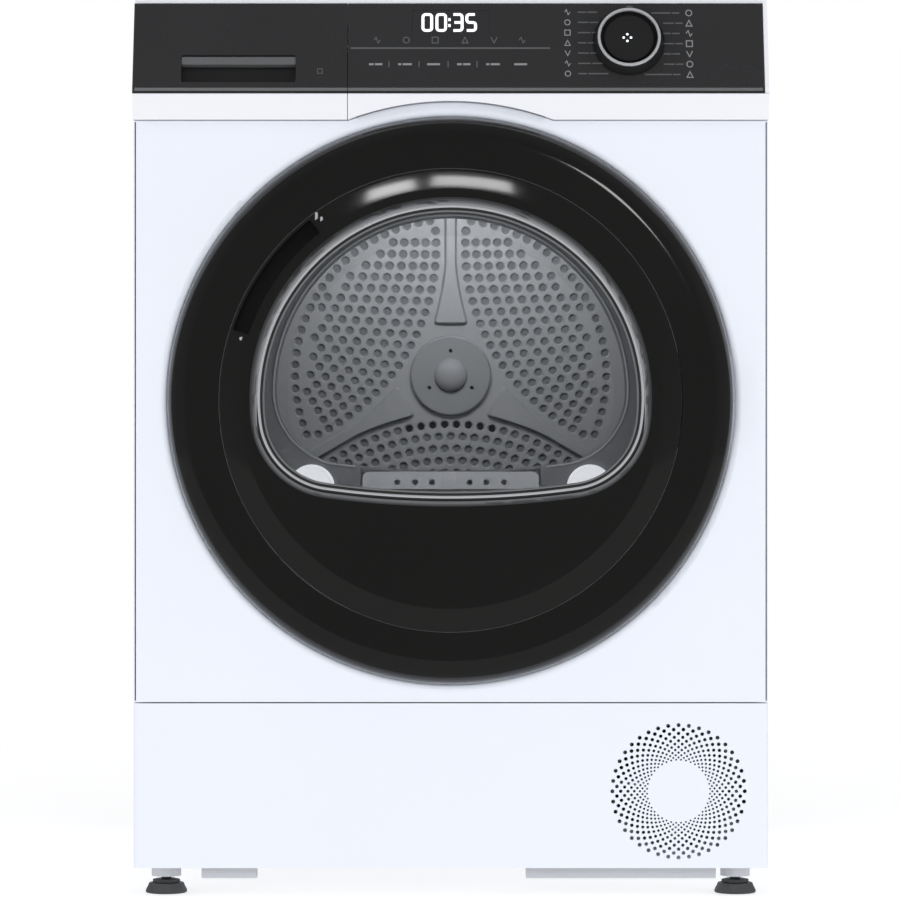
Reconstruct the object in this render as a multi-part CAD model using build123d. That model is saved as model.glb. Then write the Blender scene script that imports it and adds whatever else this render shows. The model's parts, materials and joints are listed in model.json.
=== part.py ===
from build123d import *
import os
from math import acos, cos, degrees, hypot, radians, sin, sqrt, tan

# Free-standing heat-pump clothes dryer, in millimetres. The origin is on the floor under the middle of
# the machine, +Z is up and the front faces -Y.

# ---- driving dimensions ---------------------------------------------------------------------------
WIDTH = 595.0            # over the side panels
HEIGHT = 845.0           # floor to worktop
DEPTH = 640.0            # door crown to duct cover
DOOR_CROWN = 32.0        # the door stands this far out of the front panel
REAR_COVER = 14.0        # the duct cover stands this far out of the rear panel
SHEET = 1.2              # steel sheet
WALL = 2.5               # plastic moulding
SEAM = 0.6               # visible gap between outer panels
RUNNING = 0.05           # radial clearance of a shaft in its bore

SIDE = WIDTH / 2
FRONT = -DEPTH / 2 + DOOR_CROWN      # plane of the front panel
REAR = DEPTH / 2 - REAR_COVER        # plane of the rear panel

# heights of the horizontal seams
BASE_Z = 28.0
PLINTH_TOP = 183.0
TRIM_Z = 729.0
FASCIA_Z = 753.0
FASCIA_TOP = 840.0
WORKTOP_UNDER = 820.0
EDGE_ROUND = 6.0         # rounded front corners of the cabinet

# door and the recess that it lies in
DOOR_Z = 466.0
DOOR_R = 264.0
RECESS_R = 267.0
LIP = 6.0
RECESS_DEPTH = 16.0
RECESS_INNER = 212.0
TRIM_ARC_R = 280.0       # round cut in the trim strip above the door
RING_Y = FRONT - 24.0    # flat part of the outer ring
CREST_R = 242.0          # the ring is flat from here inwards and rounded outside
CREASE_R = 216.0
FACE_R = 195.0
FACE_Y = FRONT - 30.5    # raised flat middle of the door
SKIN = 3.0
HINGE_X = 246.0
HINGE_Y = FRONT - 8.0
PIN_R = 4.0
HINGE_ARM_LOW = 28.0     # the two hinge arms, above and below the door's centre
HINGE_ARM_HIGH = 40.0
STRIKE_X = -226.0

# drum
DRUM_Z = 500.0
DRUM_R = 280.0
DRUM_SHEET = 1.5
DRUM_FRONT = FRONT + 110.0
DRUM_BACK = FRONT + 520.0
LIFTER_HEIGHT = 54.0
RIB_ANGLES = (90, 210, 330)
HOLE_PITCH = 12.8
HOLE_R = 3.5
HOLE_ROWS = 9
HOLE_ROW_FIRST = 53.0    # the innermost row's distance from the hub
HOLE_ROW_GAP = 13.0
HOLE_ROW_BEND = 225.0    # radius that the rows are bent to
HOLE_RIM_ROW = 168.0     # radius of the last row, along the rim
HUB_R = 43.5
SHAFT_R = 10.0

# front bulkhead behind the front panel
SHELF_Y = FRONT + 64.0
BULKHEAD_Y = FRONT + 100.0
COLLAR_R = 273.0
COVER_X = 132.7
COVER_Z = 384.0
COVER_R = 22.0

# running gear
ROLLER_X = 175.0
ROLLER_Y = DRUM_FRONT + 8.0
ROLLER_WIDTH = 20.0
MOTOR_X = 40.0
MOTOR_Z = 116.0
PULLEY_R = 10.0
BELT = 2.6
BELT_Y = 196.0
BELT_WIDTH = 10.0
BELT_CLEAR = 0.4
FAN_R = 72.0

# control panel
LEAN = 18.0              # the fascia leans back by this angle
FASCIA_FRONT = FRONT - 14.0
PANEL_LEFT = -96.5
END_CAP = 4.0
KNOB_X = 166.7
KNOB_Z = 801.6
KNOB_R = 33.0
KNOB_RING_R = 29.0

# tank drawer
TANK_X = (-289.0, -105.0)
TANK_Z = (768.0, 816.0)
TANK_LENGTH = 420.0
GRIP_X = (-252.0, -145.0)

# lint filter
FILTER_HALF = 104.0
FILTER_Y = (FRONT + 70.5, FRONT + 96.0)
FILTER_LIP_HALF = 84.0

# plinth flap and its grille
FLAP_DEPTH = 14.0
FLAP_AXIS_Y = FRONT + 8.0
FLAP_AXIS_Z = 35.0
GRILLE_X = 213.5
GRILLE_Z = 100.0
GRILLE_R = 66.0
GRILLE_RINGS = 12
GRILLE_DOTS = 40
GRILLE_OUTER = 62.0
GRILLE_RATIO = 0.935
GRILLE_DOT_OUTER = 1.9

# base and feet
FLOOR_TOP = 36.0
FOOT_X = 270.0
FOOT_Y = (FRONT + 48.0, REAR - 50.0)
STUD_R = 5.0


# ---- helpers --------------------------------------------------------------------------------------
def block(x, y, z):
    """Box between pairs of x, y and z."""
    middle = [(low + high) / 2 for low, high in (x, y, z)]
    return Pos(*middle) * Box(x[1] - x[0], y[1] - y[0], z[1] - z[0])


def rod_x(radius, x, y, z):
    return Pos((x[0] + x[1]) / 2, y, z) * Rot(0, 90, 0) * Cylinder(radius, x[1] - x[0])


def rod_y(radius, x, y, z):
    return Pos(x, (y[0] + y[1]) / 2, z) * Rot(90, 0, 0) * Cylinder(radius, y[1] - y[0])


def rod_z(radius, x, y, z):
    return Pos(x, y, (z[0] + z[1]) / 2) * Cylinder(radius, z[1] - z[0])


def slab(sketch, y):
    """Extrude a sketch drawn in x and z between two depths."""
    return extrude(Plane.XZ.offset(-y[0]) * sketch, amount=y[0] - y[1])


def along_x(sketch, x):
    """Extrude a sketch drawn in y and z between two x values."""
    return extrude(Plane.YZ.offset(x[0]) * sketch, amount=x[1] - x[0])


def turned(edges, x, z):
    """Turn a closed profile, drawn as radius and depth, about a line along Y."""
    profile = Plane(origin=(x, 0, z), x_dir=(1, 0, 0), z_dir=(0, 0, 1)) * make_face(edges)
    return revolve(profile, Axis((x, 0, z), (0, 1, 0)), 360)


def turned_polygon(points, x, z):
    return turned(Polyline(*points, close=True), x, z)


def tube_y(outer, inner, x, y, z):
    return rod_y(outer, x, y, z) - rod_y(inner, x, (y[0] - 1, y[1] + 1), z)


def disc(radius, x, z):
    return Pos(x, z) * Circle(radius)


def d_shape(radius, centre_z, bottom_z, corner, bottom_radius=843.0):
    """Round window with a gently bowed bottom edge and rounded lower corners."""
    low_z = bottom_z + bottom_radius          # centre of the bottom edge's arc
    near = radius - corner
    far = bottom_radius - corner
    corner_z = (near**2 - far**2 - centre_z**2 + low_z**2) / (2 * (low_z - centre_z))
    corner_x = sqrt(near**2 - (corner_z - centre_z) ** 2)
    side = Vector(corner_x, corner_z - centre_z).normalized() * radius + Vector(0, centre_z)
    foot = Vector(corner_x, corner_z - low_z).normalized() * bottom_radius + Vector(0, low_z)
    middle = Vector(1, -1).normalized() * corner + Vector(corner_x, corner_z)
    left = [Vector(-point.X, point.Y) for point in (side, middle, foot)]
    outline = ThreePointArc(side, (0, centre_z + radius), left[0])
    outline += ThreePointArc(*left)
    outline += ThreePointArc(left[2], (0, bottom_z), foot)
    return make_face(outline + ThreePointArc(foot, middle, side))


def both_sides(shape):
    return shape + mirror(shape, Plane.YZ)


def polar(radius, angle, x=0.0, z=0.0):
    return x + radius * cos(radians(angle)), z + radius * sin(radians(angle))


def sector(inner, outer, start, stop, z):
    """Ring sector in x and z about the middle of the machine."""
    span = radians(stop - start)
    reach = outer / cos(span / 2)
    wedge = make_face(Polyline((0, z), polar(reach, start, 0, z), polar(reach, stop, 0, z), close=True))
    return (disc(outer, 0, z) - disc(inner, 0, z)) & wedge


# ---- D-shaped outlines ----------------------------------------------------------------------------
def window_outline():
    return d_shape(178.5, 467.8, 375.9, 70.5)


def throat_front():
    return d_shape(192.0, 461.0, 346.0, 60.0)


def throat_back():
    return d_shape(168.0, 475.0, 400.0, 70.0)


# ---- outer cabinet --------------------------------------------------------------------------------
def make_base_tray():
    """Base moulding with foot bosses, the fan ring, the scroll ring and the motor cradle."""
    half = SIDE - SHEET - 0.3
    y = (FRONT + 20, REAR - SHEET - 0.3)
    tray = block((-half, half), y, (30, 70))
    tray -= block((-half + 3, half - 3), (y[0] + 3, y[1] - 3), (FLOOR_TOP, 71))
    for foot_y in FOOT_Y:
        tray += both_sides(rod_z(14, FOOT_X, foot_y, (16, 50)))
    tray -= block((-275, -50), (y[0] - 1, y[0] + 12), (FLOOR_TOP + 2, 71))
    tray += block((-235, -183), (FRONT + 22, FRONT + 40), (16, 31))
    tray += block((71, 250), (FRONT + 22, FRONT + 40), (16, 31))
    tray += block((GRILLE_X - 20, GRILLE_X + 20), (-240, -205), (35, 46))
    tray += rod_y(61, GRILLE_X, (-240, -205), GRILLE_Z)
    tray -= rod_y(58, GRILLE_X, (y[0] - 1, -204), GRILLE_Z)
    spider = disc(9, GRILLE_X, GRILLE_Z)
    for angle in (0, 90):
        spider += Pos(GRILLE_X, GRILLE_Z) * Rot(0, 0, angle) * Rectangle(118, 5)
    tray += slab(spider, (-212, -205))
    tray -= rod_y(4 + RUNNING, GRILLE_X, (-213, -204), GRILLE_Z)
    tray += block((MOTOR_X - 40, MOTOR_X + 40), (236, 279), (35, 46))
    tray += tube_y(FAN_R + 7, FAN_R + 4, MOTOR_X, (236, 279), MOTOR_Z)
    tray -= rod_y(FAN_R + 4, MOTOR_X, (235, 280), MOTOR_Z)
    tray += block((MOTOR_X - 30, MOTOR_X + 30), (80, 160), (35, MOTOR_Z - 20))
    tray -= rod_y(42, MOTOR_X, (79, 161), MOTOR_Z)
    for foot_y in FOOT_Y:
        tray -= both_sides(rod_z(STUD_R + RUNNING, FOOT_X, foot_y, (15, 51)))
    ear = rod_x(4.5, (272, 280), FLAP_AXIS_Y, FLAP_AXIS_Z)
    ear += block((272, 280), (FLAP_AXIS_Y, FRONT + 21), (FLAP_AXIS_Z - 4.5, FLAP_AXIS_Z + 4.5))
    ear -= rod_x(3 + RUNNING, (271, 281), FLAP_AXIS_Y, FLAP_AXIS_Z)
    return tray + both_sides(ear)


def make_side_panel():
    """Right-hand side sheet with a pressed field and folded edges at the front and top."""
    y = (FRONT + 22 + SEAM, REAR)
    z = (BASE_Z, WORKTOP_UNDER - SEAM)
    field = Pos(10, 440) * RectangleRounded(470, 620, 40)
    panel = block((SIDE - SHEET, SIDE), y, z)
    panel += along_x(offset(field, SHEET), (SIDE - SHEET - 4, SIDE - SHEET))
    panel -= along_x(field, (SIDE - 4, SIDE + 1))
    panel += block((SIDE - 12, SIDE - SHEET), (y[0], y[0] + SHEET), (BASE_Z + 60, TRIM_Z))
    return panel + block((SIDE - 3, SIDE - SHEET), (y[0] + 60, y[1] - 30), (z[1] - SHEET, z[1]))


def rear_openings():
    """Three air passages round the drum bearing."""
    ring = disc(205, 0, DRUM_Z) - disc(110, 0, DRUM_Z)
    for angle in RIB_ANGLES:
        ring -= Pos(*polar(160, angle, 0, DRUM_Z)) * Rot(0, 0, angle) * Rectangle(120, 44)
    return ring


def make_rear_panel():
    half = SIDE - SHEET - 0.2
    sheet = Pos(0, (BASE_Z + WORKTOP_UNDER) / 2) * Rectangle(2 * half, WORKTOP_UNDER - BASE_Z - 2 * SEAM)
    sheet -= rear_openings()
    for row in range(8):
        for column in (-1, 1):
            sheet -= Pos(column * 215, 66 + 12 * row) * SlotOverall(90, 5)
    sheet -= disc(8.5, -205, 200)
    sheet -= Pos(-230, 784) * Rectangle(41, 29)
    return slab(sheet, (REAR - SHEET, REAR))


def duct_outline():
    return disc(228, 0, DRUM_Z) + Pos(0, 290) * Rectangle(240, 300)


def make_rear_duct_cover():
    outer = slab(duct_outline(), (REAR, DEPTH / 2))
    outer = fillet(outer.faces().sort_by(Axis.Y)[-1].edges(), 6)
    flange = slab(offset(duct_outline(), 12), (REAR, REAR + 1.5))
    hollow = slab(offset(duct_outline(), -2), (REAR - 1, DEPTH / 2 - 2))
    return outer + flange - hollow


def make_worktop():
    """Worktop pan with a deep front and side edge."""
    top = block((-SIDE, SIDE), (FRONT + 16, REAR), (WORKTOP_UNDER, HEIGHT))
    top = fillet(top.edges().filter_by(Axis.Z), 5)
    top = fillet(top.faces().sort_by(Axis.Z)[-1].edges(), 2)
    return top - block((-SIDE + 3, SIDE - 3), (FRONT + 19, REAR - 3), (WORKTOP_UNDER - 1, HEIGHT - 3))


def make_front_panel():
    """Full-width front sheet with returned edges and the dished recess that the door lies in."""
    z = (PLINTH_TOP + SEAM, TRIM_Z - SEAM)
    arc_r = TRIM_ARC_R - SEAM
    shell = block((-SIDE, SIDE), (FRONT, FRONT + 22), z)
    shell = fillet(shell.edges().filter_by(Axis.Z).group_by(Axis.Y)[0], EDGE_ROUND)
    above = Pos(0, z[1] + 40) * Rectangle(WIDTH, 100)
    shell += slab(disc(arc_r, 0, DOOR_Z) & above, (FRONT, FRONT + 22))
    inside = block((-SIDE + SHEET, SIDE - SHEET), (FRONT + SHEET, FRONT + 23), (z[0] + SHEET, z[1] - SHEET))
    inside += slab(disc(arc_r - SHEET, 0, DOOR_Z) & above, (FRONT + SHEET, FRONT + 23))
    lip_r = RECESS_R + LIP
    shell = shell - inside - rod_y(lip_r, 0, (FRONT - 1, FRONT + 2), DOOR_Z)
    diagonal = sqrt(0.5)
    thin = LIP - SHEET
    floor_y = FRONT + RECESS_DEPTH
    outer_arc = ThreePointArc(
        (lip_r, FRONT), (lip_r - LIP * diagonal, FRONT + LIP - LIP * diagonal), (RECESS_R, FRONT + LIP)
    )
    inner_arc = ThreePointArc(
        (RECESS_R + SHEET, FRONT + LIP),
        (lip_r - thin * diagonal, FRONT + LIP - thin * diagonal),
        (lip_r, FRONT + SHEET),
    )
    floor = Polyline(
        (RECESS_R, FRONT + LIP),
        (RECESS_R, floor_y),
        (RECESS_INNER, floor_y),
        (RECESS_INNER, floor_y + SHEET),
        (RECESS_R + SHEET, floor_y + SHEET),
        (RECESS_R + SHEET, FRONT + LIP),
    )
    shell += turned(outer_arc + floor + inner_arc + Line((lip_r, FRONT + SHEET), (lip_r, FRONT)), 0, DOOR_Z)
    return shell - block((-243, -213.5), (FRONT + 10, FRONT + 20), (DOOR_Z - 14, DOOR_Z + 14))


# ---- plinth ---------------------------------------------------------------------------------------
def grille_disc():
    """Round patch of the flap with rings of small staggered holes that shrink towards its centre."""
    holes = []
    for ring in range(GRILLE_RINGS):
        scale = GRILLE_RATIO ** ring
        for dot in range(GRILLE_DOTS):
            angle = 360 / GRILLE_DOTS * (dot + 0.5 * (ring % 2))
            place = polar(GRILLE_OUTER * scale, angle, GRILLE_X, GRILLE_Z)
            holes.append((Pos(*place) * Circle(GRILLE_DOT_OUTER * scale)).wire())
    rim = disc(GRILLE_R, GRILLE_X, GRILLE_Z).wire()
    return slab(Sketch() + Face(rim, holes), (FRONT, FRONT + WALL))


def make_plinth_panel():
    """Fold-down flap over the heat exchanger and the cooling fan, with its two hinge pins."""
    y = (FRONT, FRONT + FLAP_DEPTH)
    z = (BASE_Z, PLINTH_TOP - SEAM)
    flap = block((-SIDE, SIDE), y, z)
    flap = fillet(flap.edges().filter_by(Axis.Z).group_by(Axis.Y)[0], EDGE_ROUND)
    flap -= block((-SIDE + WALL, SIDE - WALL), (FRONT + WALL, y[1] + 1), (z[0] + WALL, z[1] - WALL))
    flap -= rod_y(GRILLE_R, GRILLE_X, (FRONT - 1, FRONT + WALL + 1), GRILLE_Z)
    flap += grille_disc()
    notch = block((271, 281), (FRONT + WALL, y[1] + 1), (z[0] - 1, z[0] + WALL + 1))
    lug = block((262, 270), (FRONT + WALL - 0.5, FRONT + 12), (z[0] + 1, 41))
    lug += rod_x(3, (268, 281), FLAP_AXIS_Y, FLAP_AXIS_Z)
    return flap - both_sides(notch) + both_sides(lug)


def make_heat_exchanger_cover():
    """Inner cover behind the flap, held by two turn latches."""
    cover = slab(Pos(-163, 112) * RectangleRounded(212, 132, 14), (FRONT + 24.5, FRONT + 30))
    cover += slab(Pos(-163, 112) * RectangleRounded(176, 96, 10), (FRONT + 22, FRONT + 26))
    for x in (-240, -86):
        cover += rod_y(9, x, (FRONT + 22.5, FRONT + 30), 112)
        cover -= rod_y(5 + RUNNING, x, (FRONT + 20, FRONT + 31), 112)
    return cover


def make_latch(x):
    """Turn lever, upright when it holds the cover."""
    lever = slab(Pos(x, 112) * SlotOverall(46, 13, rotation=90), (FRONT + 15.2, FRONT + 21.7))
    return lever + rod_y(5, x, (FRONT + 21, FRONT + 30), 112)


def make_foot(x, y):
    """Adjustable foot: dished pad, hexagon collar and threaded stud."""
    foot = Pos(x, y, 4.7) * Cone(19.7, 16.5, 9.4)
    foot += Pos(x, y, 11.2) * extrude(RegularPolygon(13, 6), amount=1.8, both=True)
    return foot + rod_z(STUD_R, x, y, (12, 49))


# ---- control panel and drawer ---------------------------------------------------------------------
def fascia_y(z):
    return FASCIA_FRONT + (z - FASCIA_Z) * tan(radians(LEAN))


def fascia_plane(x, z):
    """Plane on the leaning face, looking out of it."""
    normal = (0, -cos(radians(LEAN)), sin(radians(LEAN)))
    return Plane(origin=(x, fascia_y(z), z), x_dir=(1, 0, 0), z_dir=normal)


def fascia_profile(back, step_z=None):
    top_back = FRONT + 15.4
    points = [(FASCIA_FRONT, FASCIA_Z), (fascia_y(FASCIA_TOP), FASCIA_TOP), (top_back, FASCIA_TOP)]
    if step_z:
        points += [(top_back, step_z), (back, step_z)]
    points += [(back, FASCIA_Z)]
    return make_face(Polyline(*points, close=True))


def make_control_panel():
    """Black fascia shell with a pocket for the display and a bore for the knob."""
    left = PANEL_LEFT + SEAM / 2
    right = SIDE - END_CAP
    profile = fascia_profile(FRONT + 60, WORKTOP_UNDER - 2)
    inner = offset(profile, -WALL)
    shell = along_x(profile, (left, right)) - along_x(inner, (left + WALL, right - WALL))
    shell -= block((left + WALL, right - WALL), (FRONT + 50, FRONT + 61), (FASCIA_Z + WALL, 815))
    shell -= fascia_plane(0, 821) * Box(72, 25, 3)
    return shell - fascia_plane(KNOB_X, KNOB_Z) * Cylinder(PIN_R + RUNNING, 20)


def make_control_panel_trim():
    """White strip under the fascia, cut round over the door, with the end cap at its right."""
    profile = make_face(strip_line())
    strip = along_x(profile, (PANEL_LEFT + SEAM / 2, SIDE))
    strip -= along_x(offset(profile, -WALL), (PANEL_LEFT + SEAM / 2 + WALL, SIDE - WALL))
    strip -= rod_y(TRIM_ARC_R, 0, (FRONT - 20, FRONT + 20), DOOR_Z)
    cap = along_x(fascia_profile(FRONT + 22, WORKTOP_UNDER - 2), (SIDE - END_CAP + 0.05, SIDE))
    neck = block((SIDE - END_CAP + 0.05, SIDE), (FRONT - 10, FRONT + 12), (FASCIA_Z - 2, FASCIA_Z + 2))
    return strip + cap + neck


def strip_line():
    top = FASCIA_Z - 0.4
    return Polyline(
        (FRONT - 13.2, top), (FRONT - 7, TRIM_Z), (FRONT + 12, TRIM_Z), (FRONT + 12, top), close=True
    )


def make_display_window():
    return fascia_plane(0, 821) * Pos(0, 0, -0.75) * Box(72, 25, 1.5)


def make_knob_body():
    """Knob skirt, cap and stem, square to the leaning face."""
    skirt = Pos(0, 0, 6.4) * Cone(KNOB_R, 30, 12)
    cap = Pos(0, 0, 13) * Cylinder(24.5, 1.6)
    stem = Pos(0, 0, -5) * Cylinder(PIN_R, 12)
    return fascia_plane(KNOB_X, KNOB_Z) * (skirt + cap + stem)


def make_knob_ring():
    ring = Pos(0, 0, 13.7) * (Cylinder(KNOB_RING_R, 2.6) - Cylinder(KNOB_RING_R - 2.4, 3))
    return fascia_plane(KNOB_X, KNOB_Z) * ring


def make_control_board():
    """Circuit board behind the fascia with the encoder and the relays."""
    board = Pos(90, 0, -16) * Box(330, 38, 1.6)
    for x in (-40, 10, 150, 200):
        board += Pos(x, 4, -18.5) * Box(24, 16, 5)
    return fascia_plane(0, 788) * board


def grip_pocket(extra, depth):
    """Finger recess of the drawer front; extra is the wall round it."""
    x = (GRIP_X[0] - extra, GRIP_X[1] + extra)
    return block(x, (FRONT - 30, FRONT - 30 + depth), (762 - extra, 789 + extra))


def make_drawer_front():
    """Black leaning drawer front with a finger recess."""
    x = (-SIDE, PANEL_LEFT - SEAM / 2)
    profile = fascia_profile(FRONT + 15.4)
    body = along_x(profile, x)
    shell = body - along_x(offset(profile, -WALL), (x[0] + WALL, x[1] - WALL))
    shell += body & grip_pocket(2, 42)
    return shell - grip_pocket(0, 40)


def make_drawer_handle():
    """Grey grip bar across the top of the finger recess."""
    bar = fascia_plane(-198.5, 784.4) * Pos(0, 0, -3.2) * Box(GRIP_X[1] - GRIP_X[0] - 0.1, 8.4, 8)
    return fillet(bar.edges().filter_by(Axis.X).sort_by(Axis.Y)[0], 1.5)


def make_drawer_trim():
    profile = make_face(strip_line())
    x = (-SIDE, PANEL_LEFT - SEAM / 2)
    strip = along_x(profile, x) - along_x(offset(profile, -WALL), (x[0] + WALL, x[1] - WALL))
    return strip - rod_y(TRIM_ARC_R, 0, (FRONT - 20, FRONT + 20), DOOR_Z)


def make_water_tank():
    """Flat condensate tank behind the drawer front, filled through a hole in its top."""
    y = (FRONT + 15.4, FRONT + 15.4 + TANK_LENGTH)
    tank = block(TANK_X, y, TANK_Z)
    tank = fillet(tank.edges().filter_by(Axis.Z).group_by(Axis.Y)[-1], 12)
    tank -= block((TANK_X[0] + 2, TANK_X[1] - 2), (y[0] + 2, y[1] - 2), (TANK_Z[0] + 2, TANK_Z[1] - 2))
    return tank - rod_z(15, -197, y[1] - 60, (TANK_Z[1] - 5, TANK_Z[1] + 5))


def make_tank_housing():
    """Open guide that the tank slides in."""
    x = (TANK_X[0] - 5, TANK_X[1] + 5)
    y = (FRONT + 62, FRONT + 15.4 + TANK_LENGTH + 8)
    housing = block(x, y, (765, 806))
    return housing - block((x[0] + 2, x[1] - 2), (y[0] - 1, y[1] - 2), (767, 807))


# ---- front bulkhead, filter -----------------------------------------------------------------------
def make_front_bulkhead():
    """Grey moulding from the front panel to the drum: throat, shelf, filter pocket, collar, axle stubs."""
    flange = disc(262, 0, DOOR_Z) - throat_front()
    body = slab(flange, (FRONT + RECESS_DEPTH + SHEET, FRONT + 20))
    body += slab(offset(throat_front(), WALL) - throat_front(), (FRONT + 18, SHELF_Y + WALL))
    body += slab(offset(throat_front(), WALL) - throat_back(), (SHELF_Y, SHELF_Y + WALL))
    body += slab(offset(throat_back(), WALL) - throat_back(), (SHELF_Y + 1, BULKHEAD_Y + 3))
    plate = Pos(0, 467.5) * Rectangle(576, 555) + disc(281, 0, DRUM_Z)
    body += slab(plate - throat_back(), (BULKHEAD_Y, BULKHEAD_Y + 3))
    body += tube_y(COLLAR_R, COLLAR_R - 3, 0, (BULKHEAD_Y + 2, BULKHEAD_Y + 28), DRUM_Z)
    pocket = block((-109.5, 109.5), (SHELF_Y + WALL - 0.5, BULKHEAD_Y + 0.5), (237.5, 398))
    body += pocket - slab(throat_back(), (SHELF_Y, BULKHEAD_Y + 4))
    body -= block((-107, 107), (FRONT + 69, FRONT + 97.5), (240, 415))
    for x in (-66, -33, 0, 33, 66):
        body -= block((x - 11, x + 11), (FRONT + 97, BULKHEAD_Y + 4), (262, 376))
    body -= block((-80, 80), (FRONT + 74, FRONT + 92), (236, 241))
    body -= block((-FILTER_LIP_HALF - 2, FILTER_LIP_HALF + 2), (SHELF_Y - 4, FRONT + 70), (380, 402))
    body -= block((-243, -213.5), (FRONT + 17, FRONT + 21), (DOOR_Z - 14, DOOR_Z + 14))
    return body + both_sides(rod_y(6, ROLLER_X, (BULKHEAD_Y + 2, ROLLER_Y + ROLLER_WIDTH + 4), 250))


def make_roller_covers():
    cover = rod_y(COVER_R, COVER_X, (SHELF_Y - 3.5, SHELF_Y), COVER_Z)
    return both_sides(chamfer(cover.edges().group_by(Axis.Y)[0], 1))


def make_lint_filter_frame():
    """Slide-in cassette with windows front and back and a grip lip with air holes on top."""
    y = FILTER_Y
    frame = block((-FILTER_HALF, FILTER_HALF), y, (243, 386))
    frame -= block((-FILTER_HALF + 4, FILTER_HALF - 4), (y[0] + 3, y[1] - 3), (247, 380))
    for x in (-73, -24.5, 24.5, 73):
        frame -= block((x - 22, x + 22), (y[0] - 1, y[1] + 1), (254, 374))
    lip = block((-FILTER_LIP_HALF, FILTER_LIP_HALF), (FRONT + 62.5, y[1]), (382.5, 399))
    lip = fillet(lip.edges().filter_by(Axis.Y).group_by(Axis.Z)[-1], 6)
    for x in (18, 34, 51):
        lip -= both_sides(rod_y(2.8, x, (FRONT + 62, FRONT + 80), 389))
    return frame + lip


def make_lint_filter_mesh():
    """Two fine screens against the inside of the cassette's windows."""
    width = FILTER_HALF - 4.2
    front = block((-width, width), (FILTER_Y[0] + 3, FILTER_Y[0] + 3.8), (248, 379))
    back = block((-width, width), (FILTER_Y[1] - 3.8, FILTER_Y[1] - 3), (248, 379))
    return front + back


def make_drum_seal():
    return tube_y(DRUM_R - DRUM_SHEET - 0.5, COLLAR_R, 0, (DRUM_FRONT + 3, DRUM_FRONT + 15), DRUM_Z)


# ---- drum -----------------------------------------------------------------------------------------
def make_drum_shell():
    """Rolled drum with a beaded rim."""
    y = (DRUM_FRONT, DRUM_BACK + DRUM_SHEET)
    return tube_y(DRUM_R, DRUM_R - DRUM_SHEET, 0, y, DRUM_Z)


def sector_holes():
    """Air-hole centres in one third of the rear wall, along and across its middle line.

    Each row bows towards the hub, and one last row follows the rim.
    """
    places = []
    for row in range(HOLE_ROWS):
        for step in range(-12, 13):
            turn = (step + 0.5 * (row % 2)) * HOLE_PITCH / HOLE_ROW_BEND
            along = HOLE_ROW_FIRST + row * HOLE_ROW_GAP + HOLE_ROW_BEND * (1 - cos(turn))
            across = HOLE_ROW_BEND * sin(turn)
            if hypot(along, across) < HOLE_RIM_ROW - HOLE_ROW_GAP * 0.8:
                places.append((along, across))
    for step in range(-12, 13):
        turn = step * HOLE_PITCH / HOLE_RIM_ROW
        if abs(turn) < radians(60) - 15 / HOLE_RIM_ROW:
            places.append((HOLE_RIM_ROW * cos(turn), HOLE_RIM_ROW * sin(turn)))
    return places


def make_drum_rear_wall():
    """Rear wall with three fields of air holes between the ribs."""
    holes = [disc(SHAFT_R, 0, DRUM_Z).wire()]
    for direction in (30, 150, 270):
        for along, across in sector_holes():
            x, z = polar(along, direction, *polar(across, direction + 90, 0, DRUM_Z))
            holes.append(disc(HOLE_R, x, z).wire())
    rim = disc(DRUM_R - DRUM_SHEET, 0, DRUM_Z).wire()
    return slab(Sketch() + Face(rim, holes), (DRUM_BACK, DRUM_BACK + DRUM_SHEET))


def make_drum_lifters():
    """Three ridged lifters that tumble the laundry."""
    inner = DRUM_R - DRUM_SHEET - 0.1
    lifters = Part()
    for angle in RIB_ANGLES:
        corners = [
            (inner - LIFTER_HEIGHT, -10),
            (inner + 8, -32),
            (inner + 8, 32),
            (inner - LIFTER_HEIGHT, 10),
        ]
        outline = Pos(0, DRUM_Z) * Rot(0, 0, angle) * make_face(Polyline(*corners, close=True))
        lifters += slab(outline & disc(inner, 0, DRUM_Z), (DRUM_FRONT + 30, DRUM_BACK - 6))
    return lifters


def make_drum_hub():
    """Hub disc with its dome in front of the rear wall, and the shaft behind it."""
    dome = ThreePointArc((0, DRUM_BACK - 10), (11, DRUM_BACK - 8), (18, DRUM_BACK - 4))
    rest = Polyline(
        (18, DRUM_BACK - 4),
        (HUB_R - 2, DRUM_BACK - 4),
        (HUB_R, DRUM_BACK - 2),
        (HUB_R, DRUM_BACK),
        (SHAFT_R, DRUM_BACK),
        (SHAFT_R, DRUM_BACK + 50),
        (0, DRUM_BACK + 50),
        (0, DRUM_BACK - 10),
    )
    hub = turned(dome + rest, 0, DRUM_Z)
    for angle in RIB_ANGLES:
        x, z = polar(28, angle, 0, DRUM_Z)
        hub -= rod_y(2.2, x, (DRUM_BACK - 5, DRUM_BACK - 1.5), z)
    return hub


def make_rear_bearing():
    """Bearing housing that carries the drum shaft on the rear panel."""
    bore = SHAFT_R + RUNNING
    back = REAR - SHEET
    points = [(bore, 262), (24, 262), (24, back - 12), (62, back - 4), (62, back), (bore, back)]
    return turned_polygon(points, 0, DRUM_Z)


def belt_outline(extra):
    """Outline of a loop round the drum and the motor pulley, extra outside both."""
    big = DRUM_R + extra
    small = PULLEY_R + extra
    dx = MOTOR_X
    dz = MOTOR_Z - DRUM_Z
    towards = degrees(acos(dx / hypot(dx, dz))) * -1
    spread = degrees(acos((big - small) / hypot(dx, dz)))
    corners = [
        polar(big, towards + spread, 0, DRUM_Z),
        polar(small, towards + spread, MOTOR_X, MOTOR_Z),
        polar(small, towards - spread, MOTOR_X, MOTOR_Z),
        polar(big, towards - spread, 0, DRUM_Z),
    ]
    return disc(big, 0, DRUM_Z) + disc(small, MOTOR_X, MOTOR_Z) + make_face(Polyline(*corners, close=True))


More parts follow.
